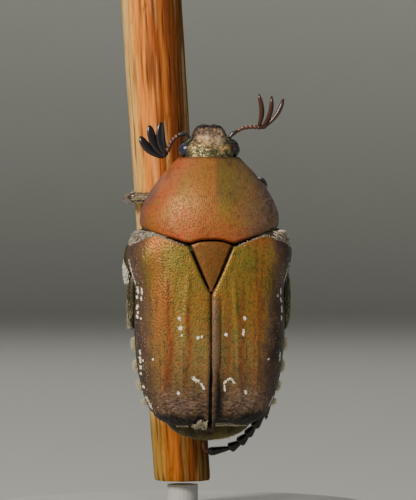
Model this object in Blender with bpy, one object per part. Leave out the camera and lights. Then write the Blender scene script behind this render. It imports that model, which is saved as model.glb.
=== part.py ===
"""Olive flower beetle, life size, clinging head up to a short cut stem on a plain display stand.

The beetle is modelled in millimetres in its own axes and hangs on an empty. Its back faces -Y,
its head points to +Z, its left side is -X, and z = 0 is the middle of its length.
"""

import math

import bpy
import bmesh
from mathutils import Vector

MM = 0.001
GAP = 0.28

# Heights along the body.
HEAD_BASE = 8.2
PRONOTUM_REAR = 3.3
THORAX_FRONT = 2.75
ELYTRON_FRONT = 2.3
SUTURE_TIP = -9.2
THORAX_END = -1.75
ABDOMEN_END = -8.25
PYGIDIUM_BASE = -8.55
PYGIDIUM_TIP = -10.0

# The perch leans a little to the beetle's left and stands behind its belly.
STEM_DEPTH = 7.3
STEM_AXIS_X = -2.34
STEM_LEAN = -0.065
STEM_RADIUS = 1.97
STEM_TAPER = 0.005
STEM_TOP = 19.3
STEM_BOTTOM = -12.9

ROD_RADIUS = 1.0
ROD_LENGTH = 1.1
BASE_RADIUS = 13.0
BASE_THICK = 3.0
BASE_BEVEL = 0.4

SHELL = 0.5

# How full the body's cross sections are: 2 is an ellipse, more is squarer.
PRONOTUM_BULGE = 2.3
PRONOTUM_KEEL = 1.7
HEAD_BULGE = 2.8
HEAD_KEEL = 2.2
ELYTRON_BULGE = 2.7
BELLY_BULGE = 1.75

HEAD_RIM = 1.0
EYE_DEPTH = 0.8
EYE_HEIGHT = 8.56
EYE_HALF_DEPTH = 0.55
EYE_HALF_HEIGHT = 0.36
PYGIDIUM_DEPTH = 2.3
PYGIDIUM_HALF = 2.75
PYGIDIUM_UP = 1.0
PYGIDIUM_DOWN = 0.88
HIP_HALF = 0.4
FEMUR_FLAT = 0.75
TIBIA_FLAT = 0.68
TOE_FLAT = 0.85

SCUTELLUM_HALF = 1.3
SCUTELLUM_FRONT = 2.42
SCUTELLUM_TIP = -0.5

# Side profiles as (height, size) pairs, seen from the back and from the side.
PRONOTUM_HALF = ((3.3, 4.2), (3.9, 4.33), (4.8, 4.15), (5.6, 3.78), (6.5, 3.14), (7.3, 2.45), (7.93, 1.84))
PRONOTUM_CREST = ((2.5, -2.9), (3.7, -3.06), (4.8, -2.92), (5.9, -2.45), (6.9, -1.75), (7.93, -0.8))
PRONOTUM_RIM = ((3.3, 0.7), (5.5, 0.9), (7.93, 1.15))
PRONOTUM_VENTER = ((2.5, 2.3), (4.0, 2.9), (5.6, 2.95), (7.0, 2.6), (7.93, 2.1))
REAR_EDGE = (
    (0.0, 2.7), (0.7, 2.65), (1.36, 2.47), (2.08, 2.69),
    (2.75, 2.93), (3.52, 3.2), (4.0, 3.44), (4.35, 3.72),
)
ELYTRON_HALF = (
    (-9.2, 1.1), (-8.95, 2.3), (-8.6, 3.1), (-8.1, 3.58), (-7.5, 3.93), (-6.6, 4.21), (-5.6, 4.44),
    (-4.4, 4.6), (-2.8, 4.69), (-0.9, 4.71), (0.1, 4.8), (1.0, 5.02), (1.8, 5.14), (2.5, 5.06),
)
ELYTRON_CREST = (
    (-9.2, 0.25), (-8.6, -0.65), (-7.6, -1.6), (-6.2, -2.4),
    (-4.4, -2.9), (-2.0, -3.1), (0.8, -3.1), (2.6, -2.95),
)
ELYTRON_RIM = ((-9.2, 1.0), (-7.0, 0.75), (-4.0, 0.5), (-1.0, 0.42), (1.0, 0.62), (2.6, 0.75))
FRONT_EDGE = (
    (0.0, 2.12), (1.5, 2.12), (2.1, 2.35), (2.75, 2.6), (3.4, 2.82), (3.8, 2.77), (4.2, 2.6), (5.1, 2.36),
)
VENTER = ((-8.6, 3.1), (-7.0, 3.5), (-4.5, 3.75), (-1.5, 3.85), (1.0, 3.8), (3.2, 2.9))
HEAD_HALF = (
    (8.2, 1.38), (8.6, 1.4), (8.95, 1.22), (9.25, 1.06),
    (9.5, 0.96), (9.7, 0.82), (9.86, 0.64), (9.94, 0.4),
)
HEAD_CREST = ((8.2, -0.62), (8.8, -0.3), (9.4, 0.25), (9.94, 0.95))
HEAD_VENTER = ((8.2, 2.3), (9.0, 2.35), (9.6, 1.95), (9.94, 1.35))
THORAX_EDGE = (
    (0.0, 2.42), (1.36, 2.19), (2.08, 2.4), (2.75, 2.64), (3.52, 2.9), (4.2, 3.3), (4.6, 3.1), (5.0, 2.5),
)
FLANK_INSET = ((-4.1, 0.12), (-3.4, 0.5), (-2.6, 0.72), (-1.9, 0.75))

COPPER_RED = (0.24, 0.085, 0.025)
OLIVE_GOLD = (0.15, 0.105, 0.025)
HEAD_GREEN = (0.20, 0.17, 0.07)
DARK_BRONZE = (0.055, 0.045, 0.02)
BLACK_BROWN = (0.02, 0.014, 0.01)
CHESTNUT = (0.09, 0.03, 0.012)
STRAW = (0.42, 0.23, 0.08)
GREY_PAINT = (0.30, 0.30, 0.29)


def along(table, t):
    """The smooth value at t of a table of rising (t, value) pairs."""
    if t <= table[0][0]:
        return table[0][1]
    if t >= table[-1][0]:
        return table[-1][1]
    k = next(i for i in range(len(table) - 1) if t <= table[i + 1][0])
    (t0, v0), (t1, v1) = table[k], table[k + 1]
    before = table[max(k - 1, 0)]
    after = table[min(k + 2, len(table) - 1)]
    slope0 = (v1 - before[1]) / (t1 - before[0])
    slope1 = (after[1] - v0) / (after[0] - t0)
    s = (t - t0) / (t1 - t0)
    wide = t1 - t0
    return (
        (2 * s**3 - 3 * s**2 + 1) * v0 + (s**3 - 2 * s**2 + s) * wide * slope0
        + (3 * s**2 - 2 * s**3) * v1 + (s**3 - s**2) * wide * slope1
    )


def material(name, colour, rough, metal):
    made = bpy.data.materials.new(name)
    made.use_nodes = True
    shader = made.node_tree.nodes["Principled BSDF"]
    shader.inputs["Base Color"].default_value = (*colour, 1.0)
    shader.inputs["Roughness"].default_value = rough
    shader.inputs["Metallic"].default_value = metal
    made.diffuse_color = (*colour, 1.0)
    return made


def mesh_object(name, build, parent, anchor=(0, 0, 0)):
    """An object whose bmesh is filled by build(bm) in millimetres, with its origin at anchor."""
    bm = bmesh.new()
    build(bm)
    bmesh.ops.recalc_face_normals(bm, faces=bm.faces)
    bmesh.ops.translate(bm, vec=-Vector(anchor), verts=bm.verts)
    bmesh.ops.scale(bm, vec=(MM, MM, MM), verts=bm.verts)
    data = bpy.data.meshes.new(name)
    bm.to_mesh(data)
    bm.free()
    made = bpy.data.objects.new(name, data)
    bpy.context.scene.collection.objects.link(made)
    made.parent = parent
    made.location = Vector(anchor) * MM
    return made


def skin_rings(bm, rings, mirrored=False):
    """Joins closed rings into a tube and closes its ends with fans, from the midline if mirrored."""
    made = [[bm.verts.new(point) for point in ring] for ring in rings]
    count = len(rings[0])
    for lower, upper in zip(made, made[1:]):
        for i in range(count):
            j = (i + 1) % count
            bm.faces.new((lower[i], lower[j], upper[j], upper[i]))
    for end in (made[0], made[-1]):
        chosen = sorted(end, key=lambda vert: abs(vert.co.x))[:2] if mirrored else end
        middle = bm.verts.new(sum((vert.co for vert in chosen), Vector()) / len(chosen))
        for i in range(count):
            bm.faces.new((middle, end[i], end[(i + 1) % count]))


def skin_shell(bm, outer, inner):
    """Joins two grids of points of the same size into one closed shell."""
    top = [[bm.verts.new(point) for point in row] for row in outer]
    low = [[bm.verts.new(point) for point in row] for row in inner]
    rows, columns = len(top), len(top[0])
    for grid in (top, low):
        for i in range(rows - 1):
            for j in range(columns - 1):
                bm.faces.new((grid[i][j], grid[i + 1][j], grid[i + 1][j + 1], grid[i][j + 1]))
    edge = [(0, j) for j in range(columns)] + [(i, columns - 1) for i in range(1, rows)]
    edge += [(rows - 1, j) for j in range(columns - 2, -1, -1)] + [(i, 0) for i in range(rows - 2, 0, -1)]
    for k, (i, j) in enumerate(edge):
        m, n = edge[(k + 1) % len(edge)]
        bm.faces.new((top[i][j], top[m][n], low[m][n], low[i][j]))


def limb_rings(path, halves, flat, side, sides):
    """Oval rings along a path. Halves are the half widths and flat the thickness to width ratio."""
    points = [Vector(point) for point in path]
    rings = []
    for i, point in enumerate(points):
        run = (points[min(i + 1, len(points) - 1)] - points[max(i - 1, 0)]).normalized()
        across = (Vector(side) - run * run.dot(Vector(side))).normalized()
        up = run.cross(across)
        ring = []
        for k in range(sides):
            turn = math.tau * k / sides
            ring.append(point + halves[i] * (across * math.cos(turn) + up * flat * math.sin(turn)))
        rings.append(ring)
    return rings


def limb(name, path, halves, flat, side, parent, sides=8):
    """One closed tapering piece along a path."""
    rings = limb_rings(path, halves, flat, side, sides)
    return mesh_object(name, lambda bm: skin_rings(bm, rings), parent, path[0])


def segment(name, start, end, stations, flat, side, parent, sides=8):
    """A straight piece from start to end, with stations of (share of the length, half width)."""
    start, end = Vector(start), Vector(end)
    path = [start.lerp(end, share) for share, _ in stations]
    return limb(name, path, [half for _, half in stations], flat, side, parent, sides)


def keep_largest(made):
    """Leaves only the closed surface with the most faces."""
    bm = bmesh.new()
    bm.from_mesh(made.data)
    left = set(bm.faces)
    islands = []
    while left:
        stack = [left.pop()]
        island = set(stack)
        while stack:
            face = stack.pop()
            near = {other for edge in face.edges for other in edge.link_faces} - island
            island |= near
            stack.extend(near)
        left -= island
        islands.append(island)
    islands.sort(key=len)
    loose = [face for island in islands[:-1] for face in island]
    bmesh.ops.delete(bm, geom=loose, context="FACES")
    bm.to_mesh(made.data)
    bm.free()


def fuse(base, pieces):
    """Unites the pieces with the base in one Boolean and removes them."""
    group = bpy.data.collections.new(base.name + "_pieces")
    bpy.context.scene.collection.children.link(group)
    for piece in pieces:
        bpy.context.scene.collection.objects.unlink(piece)
        group.objects.link(piece)
    union = base.modifiers.new("union", "BOOLEAN")
    union.operation = "UNION"
    union.operand_type = "COLLECTION"
    union.collection = group
    union.solver = "EXACT"
    bpy.context.view_layer.objects.active = base
    bpy.ops.object.modifier_apply(modifier=union.name)
    for piece in pieces:
        bpy.data.objects.remove(piece, do_unlink=True)
    bpy.data.collections.remove(group)
    keep_largest(base)


def finish_node(made, paint):
    made.data.materials.clear()
    made.data.materials.append(paint)
    for face in made.data.polygons:
        face.material_index = 0
        face.use_smooth = True
    return made


def clear_scene():
    for old in list(bpy.data.objects):
        bpy.data.objects.remove(old, do_unlink=True)


def signed_power(value, power):
    return math.copysign(abs(value) ** power, value)


def oval(half, crest, rim, venter, bulge_top, bulge_low, z_at, sides=32):
    """A body ring: a fuller upper half from rim to crest and a lower half from rim to venter."""
    ring = []
    for k in range(sides):
        turn = math.tau * k / sides
        power = 2 / (bulge_top if math.sin(turn) >= 0 else bulge_low)
        x = half * signed_power(math.cos(turn), power)
        reach = abs(math.sin(turn)) ** power
        y = rim + reach * ((crest if math.sin(turn) >= 0 else venter) - rim)
        ring.append(Vector((x, y, z_at(x))))
    return ring


def build_pronotum(parent):
    """The prothorax with its domed shield and its swept hind edge."""
    heights = (PRONOTUM_REAR, 3.45, 3.8, 4.3, 4.9, 5.5, 6.1, 6.7, 7.2, 7.6, 7.83, 7.93)
    rings = []
    for k, height in enumerate(heights):
        sweep = max(0.0, 1 - k / 5)
        trim = (0.12, 0.03)[k] if k < 2 else (0.14 if k == len(heights) - 1 else 0.0)

        def z_at(x, sweep=sweep, height=height):
            return height + sweep * (along(REAR_EDGE, abs(x)) - PRONOTUM_REAR)

        rings.append(oval(
            along(PRONOTUM_HALF, height) - trim, along(PRONOTUM_CREST, height) + trim,
            along(PRONOTUM_RIM, height), along(PRONOTUM_VENTER, height) - trim,
            PRONOTUM_BULGE, PRONOTUM_KEEL, z_at,
        ))
    return mesh_object("pronotum", lambda bm: skin_rings(bm, rings, True), parent, (0, 0, 5.0))


PALP = ((0.5, 1.7, 8.8), (0.7, 2.4, 9.0), (0.85, 2.65, 9.3), (0.8, 2.7, 9.65))


def build_head(parent):
    heights = (HEAD_BASE, 8.35, 8.6, 8.85, 9.1, 9.35, 9.6, 9.78, 9.88, 9.94)
    rings = []
    for k, height in enumerate(heights):
        trim = 0.1 if k == 0 else 0.0
        notch = 0.04 if k == len(heights) - 1 else 0.0
        rings.append(oval(
            along(HEAD_HALF, height) - trim, along(HEAD_CREST, height) + trim, HEAD_RIM,
            along(HEAD_VENTER, height) - trim, HEAD_BULGE, HEAD_KEEL,
            lambda x, height=height, notch=notch: height - notch * max(0.0, 1 - abs(x) / 0.25), 24,
        ))
    head = mesh_object("head", lambda bm: skin_rings(bm, rings), parent, (0, 0.8, HEAD_BASE))
    pieces = []
    for side in (-1, 1):
        path = [(side * x, y, z) for x, y, z in PALP]
        pieces.append(limb("palp", path, [0.2, 0.2, 0.22, 0.1], 0.9, (1, 0, 0), parent))
    fuse(head, pieces)
    return head


def build_eye(parent, side):
    """A domed eye with its flat face against the head."""
    flat_x = along(HEAD_HALF, EYE_HEIGHT) + 0.17
    rings = []
    for reach, share in ((0.0, 0.86), (0.06, 1.0), (0.2, 0.93), (0.34, 0.72), (0.42, 0.42), (0.45, 0.15)):
        ring = []
        for k in range(16):
            turn = math.tau * k / 16
            y = EYE_DEPTH + EYE_HALF_DEPTH * share * math.cos(turn)
            z = EYE_HEIGHT + EYE_HALF_HEIGHT * share * math.sin(turn)
            ring.append(Vector((side * (flat_x + reach), y, z)))
        rings.append(ring)
    name = "eye_left" if side < 0 else "eye_right"
    anchor = (side * flat_x, EYE_DEPTH, EYE_HEIGHT)
    return mesh_object(name, lambda bm: skin_rings(bm, rings), parent, anchor)


def scutellum_half(height):
    """Half width of the scutellum, which goes below nought past its tip."""
    share = (SCUTELLUM_FRONT - height) / (SCUTELLUM_FRONT - SCUTELLUM_TIP)
    if share >= 1:
        return -SCUTELLUM_HALF * (share - 1)
    return SCUTELLUM_HALF * (1 - max(share, 0.0)) ** 0.9


def back_point(side, height, theta, z, depth=0.0):
    """A point of the elytra's outer skin. Theta runs from the crest to the rim, and depth goes inwards."""
    half = along(ELYTRON_HALF, height) - depth
    crest = along(ELYTRON_CREST, height) + depth
    rim = along(ELYTRON_RIM, height)
    power = 2 / ELYTRON_BULGE
    return Vector((
        side * half * math.sin(theta) ** power, rim + (crest - rim) * abs(math.cos(theta)) ** power, z,
    ))


def theta_of(x, half):
    return math.asin(min(1.0, max(x, 0.0) / half) ** (ELYTRON_BULGE / 2))


def build_scutellum(parent):
    rows = 9
    outer = []
    for i in range(rows):
        share = i / (rows - 1)
        height = SCUTELLUM_FRONT + (SCUTELLUM_TIP - SCUTELLUM_FRONT) * share
        half = max(scutellum_half(height), 0.12)
        row = []
        for j in range(9):
            x = half * (j / 4 - 1)
            z = height + (1 - share) ** 3 * (along(REAR_EDGE, abs(x)) - GAP - SCUTELLUM_FRONT)
            point = back_point(1, height, theta_of(abs(x), along(ELYTRON_HALF, height)), z)
            row.append(Vector((x, point.y, z)))
        outer.append(row)
    inner = [[point + Vector((0, SHELL, 0)) for point in row] for row in outer]
    anchor = (0, -2.6, SCUTELLUM_FRONT)
    return mesh_object("scutellum", lambda bm: skin_shell(bm, outer, inner), parent, anchor)


def elytron_rows(side):
    """The outer grid of one wing case, from its front edge to its tip and from suture to rim."""
    rows, columns = 22, 13
    grid = []
    for i in range(rows):
        share = i / (rows - 1)
        height = ELYTRON_FRONT + (SUTURE_TIP - ELYTRON_FRONT) * math.sin(math.pi / 2 * share ** 1.12)
        sweep = max(0.0, 1 - share / 0.3)
        half = along(ELYTRON_HALF, height)
        inner_x = max(GAP / 2, scutellum_half(height) + GAP * 1.15)
        first = theta_of(inner_x, half)
        row = []
        for j in range(columns):
            theta = first + (math.pi / 2 - first) * j / (columns - 1)
            x = half * math.sin(theta) ** (2 / ELYTRON_BULGE)
            z = height + sweep * (along(FRONT_EDGE, x) - ELYTRON_FRONT)
            row.append(back_point(side, height, theta, z))
        grid.append(row)
    return grid


def inset_grid(grid, thick, side):
    """The same grid moved inwards along its own normals, kept off the midline."""
    inner = []
    for i, row in enumerate(grid):
        moved = []
        for j, point in enumerate(row):
            length = grid[min(i + 1, len(grid) - 1)][j] - grid[max(i - 1, 0)][j]
            width = row[min(j + 1, len(row) - 1)] - row[max(j - 1, 0)]
            normal = length.cross(width).normalized() * side
            target = point - normal * thick
            edge = abs(row[0].x)
            if side * target.x < edge:
                target.x = side * edge
            moved.append(target)
        inner.append(moved)
    return inner


def build_elytron(parent, side):
    outer = elytron_rows(side)
    inner = inset_grid(outer, SHELL, side)
    name = "elytron_left" if side < 0 else "elytron_right"
    anchor = (side * 2.5, -2.5, ELYTRON_FRONT)
    return mesh_object(name, lambda bm: skin_shell(bm, outer, inner), parent, anchor)


def hull_ring(height, z_at, flank_inset=0.12, steps=9):
    """A ring of the body under the wing cases: inside them above, out to the flank below."""
    wide = along(ELYTRON_HALF, height)
    crest = along(ELYTRON_CREST, height)
    rim = along(ELYTRON_RIM, height)
    venter = along(VENTER, height)
    cover = SHELL + GAP + 0.06
    half = []
    for k in range(steps):
        theta = math.pi / 2 * k / (steps - 1)
        x = (wide - cover) * math.sin(theta) ** (2 / ELYTRON_BULGE)
        y = rim + (crest + cover - rim) * math.cos(theta) ** (2 / ELYTRON_BULGE)
        half.append((x, y))
    flank = rim + GAP + 0.3
    half.append((wide - cover, rim + GAP))
    for k in range(steps):
        theta = math.pi / 2 * k / (steps - 1)
        x = (wide - flank_inset) * math.cos(theta) ** (2 / BELLY_BULGE)
        y = flank + (venter - flank) * math.sin(theta) ** (2 / BELLY_BULGE)
        half.append((x, y))
    ring = [Vector((x, y, z_at(x))) for x, y in half]
    ring += [Vector((-x, y, z_at(x))) for x, y in half[-2:0:-1]]
    return ring


# The hind hip's plate, which shows beside the wing case as far as its rounded hind corner.
COXAL_PLATE = (
    (4.6, 1.5, 1.3), (4.72, 1.55, 0.9), (4.78, 1.6, -0.2),
    (4.78, 1.65, -1.6), (4.8, 1.75, -2.6), (4.82, 1.85, -2.95),
)
SHOULDER_WEDGE = ((3.9, 1.7, 2.3), (4.2, 1.1, 2.62), (4.47, 0.5, 2.84), (4.55, 0.2, 2.88))


def build_thorax(parent):
    """The middle and hind thorax, with the wedges that show beside the shoulders."""
    heights = (THORAX_FRONT, 2.6, 2.3, 1.7, 0.9, 0.0, -0.9, -1.55, THORAX_END)
    rings = []
    for k, height in enumerate(heights):
        sweep = max(0.0, 1 - k / 5)

        def z_at(x, sweep=sweep, height=height):
            return height + sweep * (along(THORAX_EDGE, x) - THORAX_FRONT)

        rings.append(hull_ring(min(height, 2.5), z_at))
    thorax = mesh_object("thorax", lambda bm: skin_rings(bm, rings, True), parent, (0, 0, 0.5))
    pieces = []
    for side in (-1, 1):
        path = [(side * x, y, z) for x, y, z in SHOULDER_WEDGE]
        pieces.append(limb("wedge", path, [0.4, 0.55, 0.5, 0.2], 0.35, (side * 0.8, 0.1, -0.6), parent))
        path = [(side * x, y, z) for x, y, z in COXAL_PLATE]
        pieces.append(limb("plate", path, [0.15, 0.34, 0.42, 0.42, 0.36, 0.15], 1.7, (1, 0, 0), parent))
    path = [(0, 2.9, 0.2), (0, 3.9, 0.9), (0, 4.15, 1.6), (0, 4.05, 2.1)]
    pieces.append(limb("process", path, [0.5, 0.5, 0.45, 0.25], 0.55, (1, 0, 0), parent))
    fuse(thorax, pieces)
    return thorax


def build_abdomen(parent):
    heights = [THORAX_END - GAP - 0.02]
    for k in range(1, 13):
        heights.append(heights[0] + (ABDOMEN_END - heights[0]) * k / 12)
    rings = [hull_ring(h, lambda x, h=h: h, along(FLANK_INSET, h)) for h in heights]
    return mesh_object("abdomen", lambda bm: skin_rings(bm, rings), parent, (0, 1, THORAX_END))


def build_pygidium(parent):
    """The last plate, domed to the rear below the tips of the wing cases."""
    rings = []
    depth = PYGIDIUM_BASE - PYGIDIUM_TIP
    for turn in (0, 12, 25, 38, 50, 62, 74, 84):
        angle = math.radians(turn)
        ring = []
        for k in range(28):
            around = math.tau * k / 28
            reach = PYGIDIUM_DOWN if math.sin(around) > 0 else PYGIDIUM_UP
            x = PYGIDIUM_HALF * math.cos(angle) * signed_power(math.cos(around), 0.9)
            y = PYGIDIUM_DEPTH + reach * math.cos(angle) * signed_power(math.sin(around), 0.9)
            bow = 0.25 * math.cos(angle) * (1 - abs(math.cos(around)))
            ring.append(Vector((x, y, PYGIDIUM_BASE - depth * math.sin(angle) - bow)))
        rings.append(ring)
    anchor = (0, PYGIDIUM_DEPTH, PYGIDIUM_BASE)
    return mesh_object("pygidium", lambda bm: skin_rings(bm, rings), parent, anchor)


SCAPE = ((0, 0.15), (0.25, 0.22), (0.8, 0.26), (1.0, 0.22))

# Each antenna: the scape's ends, the beads' path to the club, and the three leaves' tips, roots and bow.
ANTENNA_RIGHT = {
    "scape": ((1.47, 1.0, 9.4), (1.8, 1.0, 9.62)),
    "beads": ((1.85, 1.0, 9.65), (2.15, 1.0, 9.78), (2.65, 1.0, 9.86), (3.3, 1.0, 9.84)),
    "tips": ((3.12, 0.7, 11.95), (3.95, 0.9, 11.85), (4.72, 1.1, 11.7)),
    "roots": ((3.15, 0.9, 9.9), (3.42, 1.0, 9.86), (3.6, 1.1, 9.9)),
    "bow": (0.32, 0.0, -0.1),
}
ANTENNA_LEFT = {
    "scape": ((-1.5, 1.0, 9.4), (-1.95, 1.0, 9.35)),
    "beads": ((-2.1, 1.05, 9.28), (-2.35, 1.2, 8.95), (-2.55, 1.4, 8.5), (-2.8, 1.6, 8.1)),
    "tips": ((-3.0, 1.5, 10.2), (-3.75, 1.7, 10.0), (-4.35, 1.9, 9.3)),
    "roots": ((-2.7, 1.4, 8.2), (-2.8, 1.6, 8.1), (-2.85, 1.8, 8.0)),
    "bow": (-0.3, 0.0, -0.25),
}


def build_antenna(name, plan, parent):
    """A club-shaped scape, a beaded stalk and three long curved leaves, fused."""
    start, end = plan["scape"]
    scape = segment(name, start, end, SCAPE, 1.0, (0, 1, 0), parent)
    pieces = []
    beads = [Vector(point) for point in plan["beads"]]
    path = [Vector(start).lerp(Vector(end), 0.7)] + beads
    lengths = [(b - a).length for a, b in zip(path, path[1:])]
    beaded = [point_along(path, lengths, sum(lengths) * k / 12) for k in range(13)]
    pieces.append(limb("stalk", beaded, [0.18 if k % 2 else 0.24 for k in range(13)], 1.0, (0, 1, 0), parent))
    bow = Vector(plan["bow"])
    for root, tip in zip(plan["roots"], plan["tips"]):
        root, tip = Vector(root), Vector(tip)
        path = [root.lerp(tip, k / 5) + bow * math.sin(math.pi * k / 5) * 0.6 for k in range(6)]
        pieces.append(limb("leaf", path, [0.22, 0.28, 0.3, 0.29, 0.22, 0.1], 0.75, (0.2, 1, 0), parent))
    fuse(scape, pieces)
    return scape


# Shares of each leg piece's length with the half widths there.
COXA = ((0, 0.22), (0.25, 0.34), (0.8, 0.38), (1.0, 0.2))
FEMUR = ((0, 0.3), (0.12, 0.46), (0.45, 0.6), (0.75, 0.5), (0.92, 0.44), (1.0, 0.26))
TIBIA = ((0, 0.22), (0.08, 0.34), (0.45, 0.34), (0.8, 0.44), (0.95, 0.46), (1.0, 0.3))
TOE = ((0, 0.15), (0.3, 0.2), (0.8, 0.25), (1.0, 0.15))


def stem_point(height, degrees, lift):
    """A point round the perch, at an angle from the side that faces the beetle towards its right."""
    turn = math.radians(degrees)
    reach = STEM_RADIUS + STEM_TAPER * height + lift
    return Vector((
        STEM_AXIS_X + STEM_LEAN * height + reach * math.sin(turn), STEM_DEPTH - reach * math.cos(turn), height,
    ))


# Each leg: the hip's x and height, the knee, the ankle, then the foot's path.
LEGS = {
    "leg_front_left": ((-1.2, 5.3), (-4.82, 3.1, 5.45), stem_point(5.35, -68, 0.5),
                       [stem_point(5.35, -88, 0.4), stem_point(5.5, -120, 0.38), stem_point(5.7, -148, 0.32)]),
    "leg_front_right": ((1.2, 5.3), (3.45, 4.1, 6.3), (0.65, 6.0, 6.9),
                        [(0.1, 6.6, 7.1), stem_point(7.35, 98, 0.4), stem_point(7.7, 128, 0.32)]),
    "leg_middle_left": ((-1.3, 0.6), (-4.45, 3.55, -0.9), stem_point(-0.3, -66, 0.5),
                        [stem_point(0.0, -86, 0.42), stem_point(0.5, -120, 0.38), stem_point(0.9, -148, 0.32)]),
    "leg_middle_right": ((1.3, 0.6), (4.3, 3.55, -0.9), (1.6, 5.75, -0.7),
                         [(0.95, 6.2, -0.6), (0.35, 6.75, -0.4), stem_point(0.0, 98, 0.32)]),
    "leg_hind_left": ((-1.3, -2.4), (-4.2, 3.5, -4.3), stem_point(-5.2, -62, 0.5),
                      [stem_point(-5.45, -84, 0.42), stem_point(-6.0, -118, 0.38), stem_point(-6.4, -148, 0.32)]),
    "leg_hind_right": ((1.3, -2.4), (4.3, 3.6, -5.0), (3.5, 4.4, -8.65),
                       [(2.65, 4.9, -9.8), (2.1, 5.2, -10.38), (1.45, 5.4, -10.78), (0.5, 5.55, -10.95)]),
}


def belly(x, height):
    """How far down the underside reaches at a place."""
    if height > 3.0:
        half, rim, bulge = along(PRONOTUM_HALF, height), along(PRONOTUM_RIM, height), PRONOTUM_KEEL
        venter = along(PRONOTUM_VENTER, height)
    else:
        half, rim, bulge = along(ELYTRON_HALF, height) - 0.12, along(ELYTRON_RIM, height) + GAP + 0.3, BELLY_BULGE
        venter = along(VENTER, height)
    return rim + (venter - rim) * (1 - (abs(x) / half) ** bulge) ** (1 / bulge)


def claws(tip, run, down, parent):
    """Two hooked claws at the end of a foot, bent towards the perch."""
    pieces = []
    across = run.cross(down).normalized()
    for side in (-1, 1):
        out = across * side
        path = [
            tip - run * 0.12, tip + run * 0.1 + out * 0.12,
            tip + run * 0.26 + out * 0.2 + down * 0.06, tip + run * 0.34 + out * 0.22 + down * 0.2,
        ]
        pieces.append(limb("claw", path, [0.1, 0.1, 0.07, 0.02], 1.0, across + down * 0.2, parent, 5))
    return pieces


def tibia_teeth(name, knee, ankle, outer, parent):
    """The outer teeth and the two spurs of a shin. A front shin has two large teeth near its end."""
    run = (ankle - knee).normalized()
    length = (ankle - knee).length
    front = "front" in name
    pieces = []
    for share in (0.74, 0.96) if front else (0.5, 0.94):
        root = knee + run * length * share + outer * 0.12
        tip = root + outer * (0.48 if front else 0.3) + run * 0.18
        pieces.append(segment("tooth", root, tip, ((0, 0.2), (0.5, 0.14), (1.0, 0.03)), 0.7, run, parent, 5))
    for side in (-1, 1):
        root = ankle - run * 0.15
        tip = ankle + run * 0.42 - outer * (0.22 + 0.05 * side) + run.cross(outer) * 0.14 * side
        pieces.append(segment("spur", root, tip, ((0, 0.11), (0.6, 0.08), (1.0, 0.02)), 1.0, outer, parent, 5))
    return pieces


def build_leg(name, plan, parent):
    (hip_x, hip_height), knee, ankle, toes = plan
    hip = Vector((hip_x, belly(hip_x, hip_height) + GAP + HIP_HALF, hip_height))
    knee, ankle = Vector(knee), Vector(ankle)
    thigh, shin = (knee - hip).normalized(), (ankle - knee).normalized()
    bend = (shin - thigh * shin.dot(thigh)).normalized()
    outer = (thigh - shin * thigh.dot(shin)).normalized()
    femur = segment(name, hip, knee, FEMUR, FEMUR_FLAT, bend, parent, 10)
    inward = Vector((-hip_x * 0.45, 0.06, 0.5))
    pieces = [segment("coxa", hip + inward, hip, COXA, 1.0, thigh, parent)]
    pieces.append(segment("tibia", knee - shin * 0.12, ankle, TIBIA, TIBIA_FLAT, outer, parent))
    pieces += tibia_teeth(name, knee, ankle, outer, parent)
    path = [ankle] + [Vector(point) for point in toes]
    lengths = [(b - a).length for a, b in zip(path, path[1:])]
    total = sum(lengths)
    joints = [point_along(path, lengths, total * k / 5) for k in range(6)]
    for k in range(5):
        back = (joints[k + 1] - joints[k]).normalized() * 0.08
        pieces.append(segment("toe", joints[k] - back, joints[k + 1] + back, TOE, TOE_FLAT, bend, parent, 6))
    run = (joints[5] - joints[4]).normalized()
    inwards = Vector(stem_axis(joints[5].z)) - joints[5]
    down = (inwards - run * inwards.dot(run)).normalized()
    pieces += claws(joints[5], run, down, parent)
    fuse(femur, pieces)
    return femur


def point_along(path, lengths, distance):
    for point, after, length in zip(path, path[1:], lengths):
        if distance <= length:
            return point.lerp(after, distance / length)
        distance -= length
    return path[-1].copy()


def build_stem(parent):
    """The cut length of dry stem, round with shallow ribs."""
    rings = []
    for k in range(13):
        height = STEM_BOTTOM + (STEM_TOP - STEM_BOTTOM) * k / 12
        rings.append([stem_point(height, 360 * i / 24, 0.0) for i in range(24)])
    return mesh_object("perch_stem", lambda bm: skin_rings(bm, rings), parent, stem_axis(STEM_BOTTOM))


def stem_axis(height):
    return (STEM_AXIS_X + STEM_LEAN * height, STEM_DEPTH, height)


def round_slab(name, radius, low, thick, sides, parent, at):
    def build(bm):
        bmesh.ops.create_cone(
            bm, cap_ends=True, segments=sides, radius1=radius, radius2=radius, depth=thick,
        )
        bmesh.ops.translate(bm, vec=(at[0], at[1], low + thick / 2), verts=bm.verts)
    return mesh_object(name, build, parent, (at[0], at[1], low))


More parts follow.
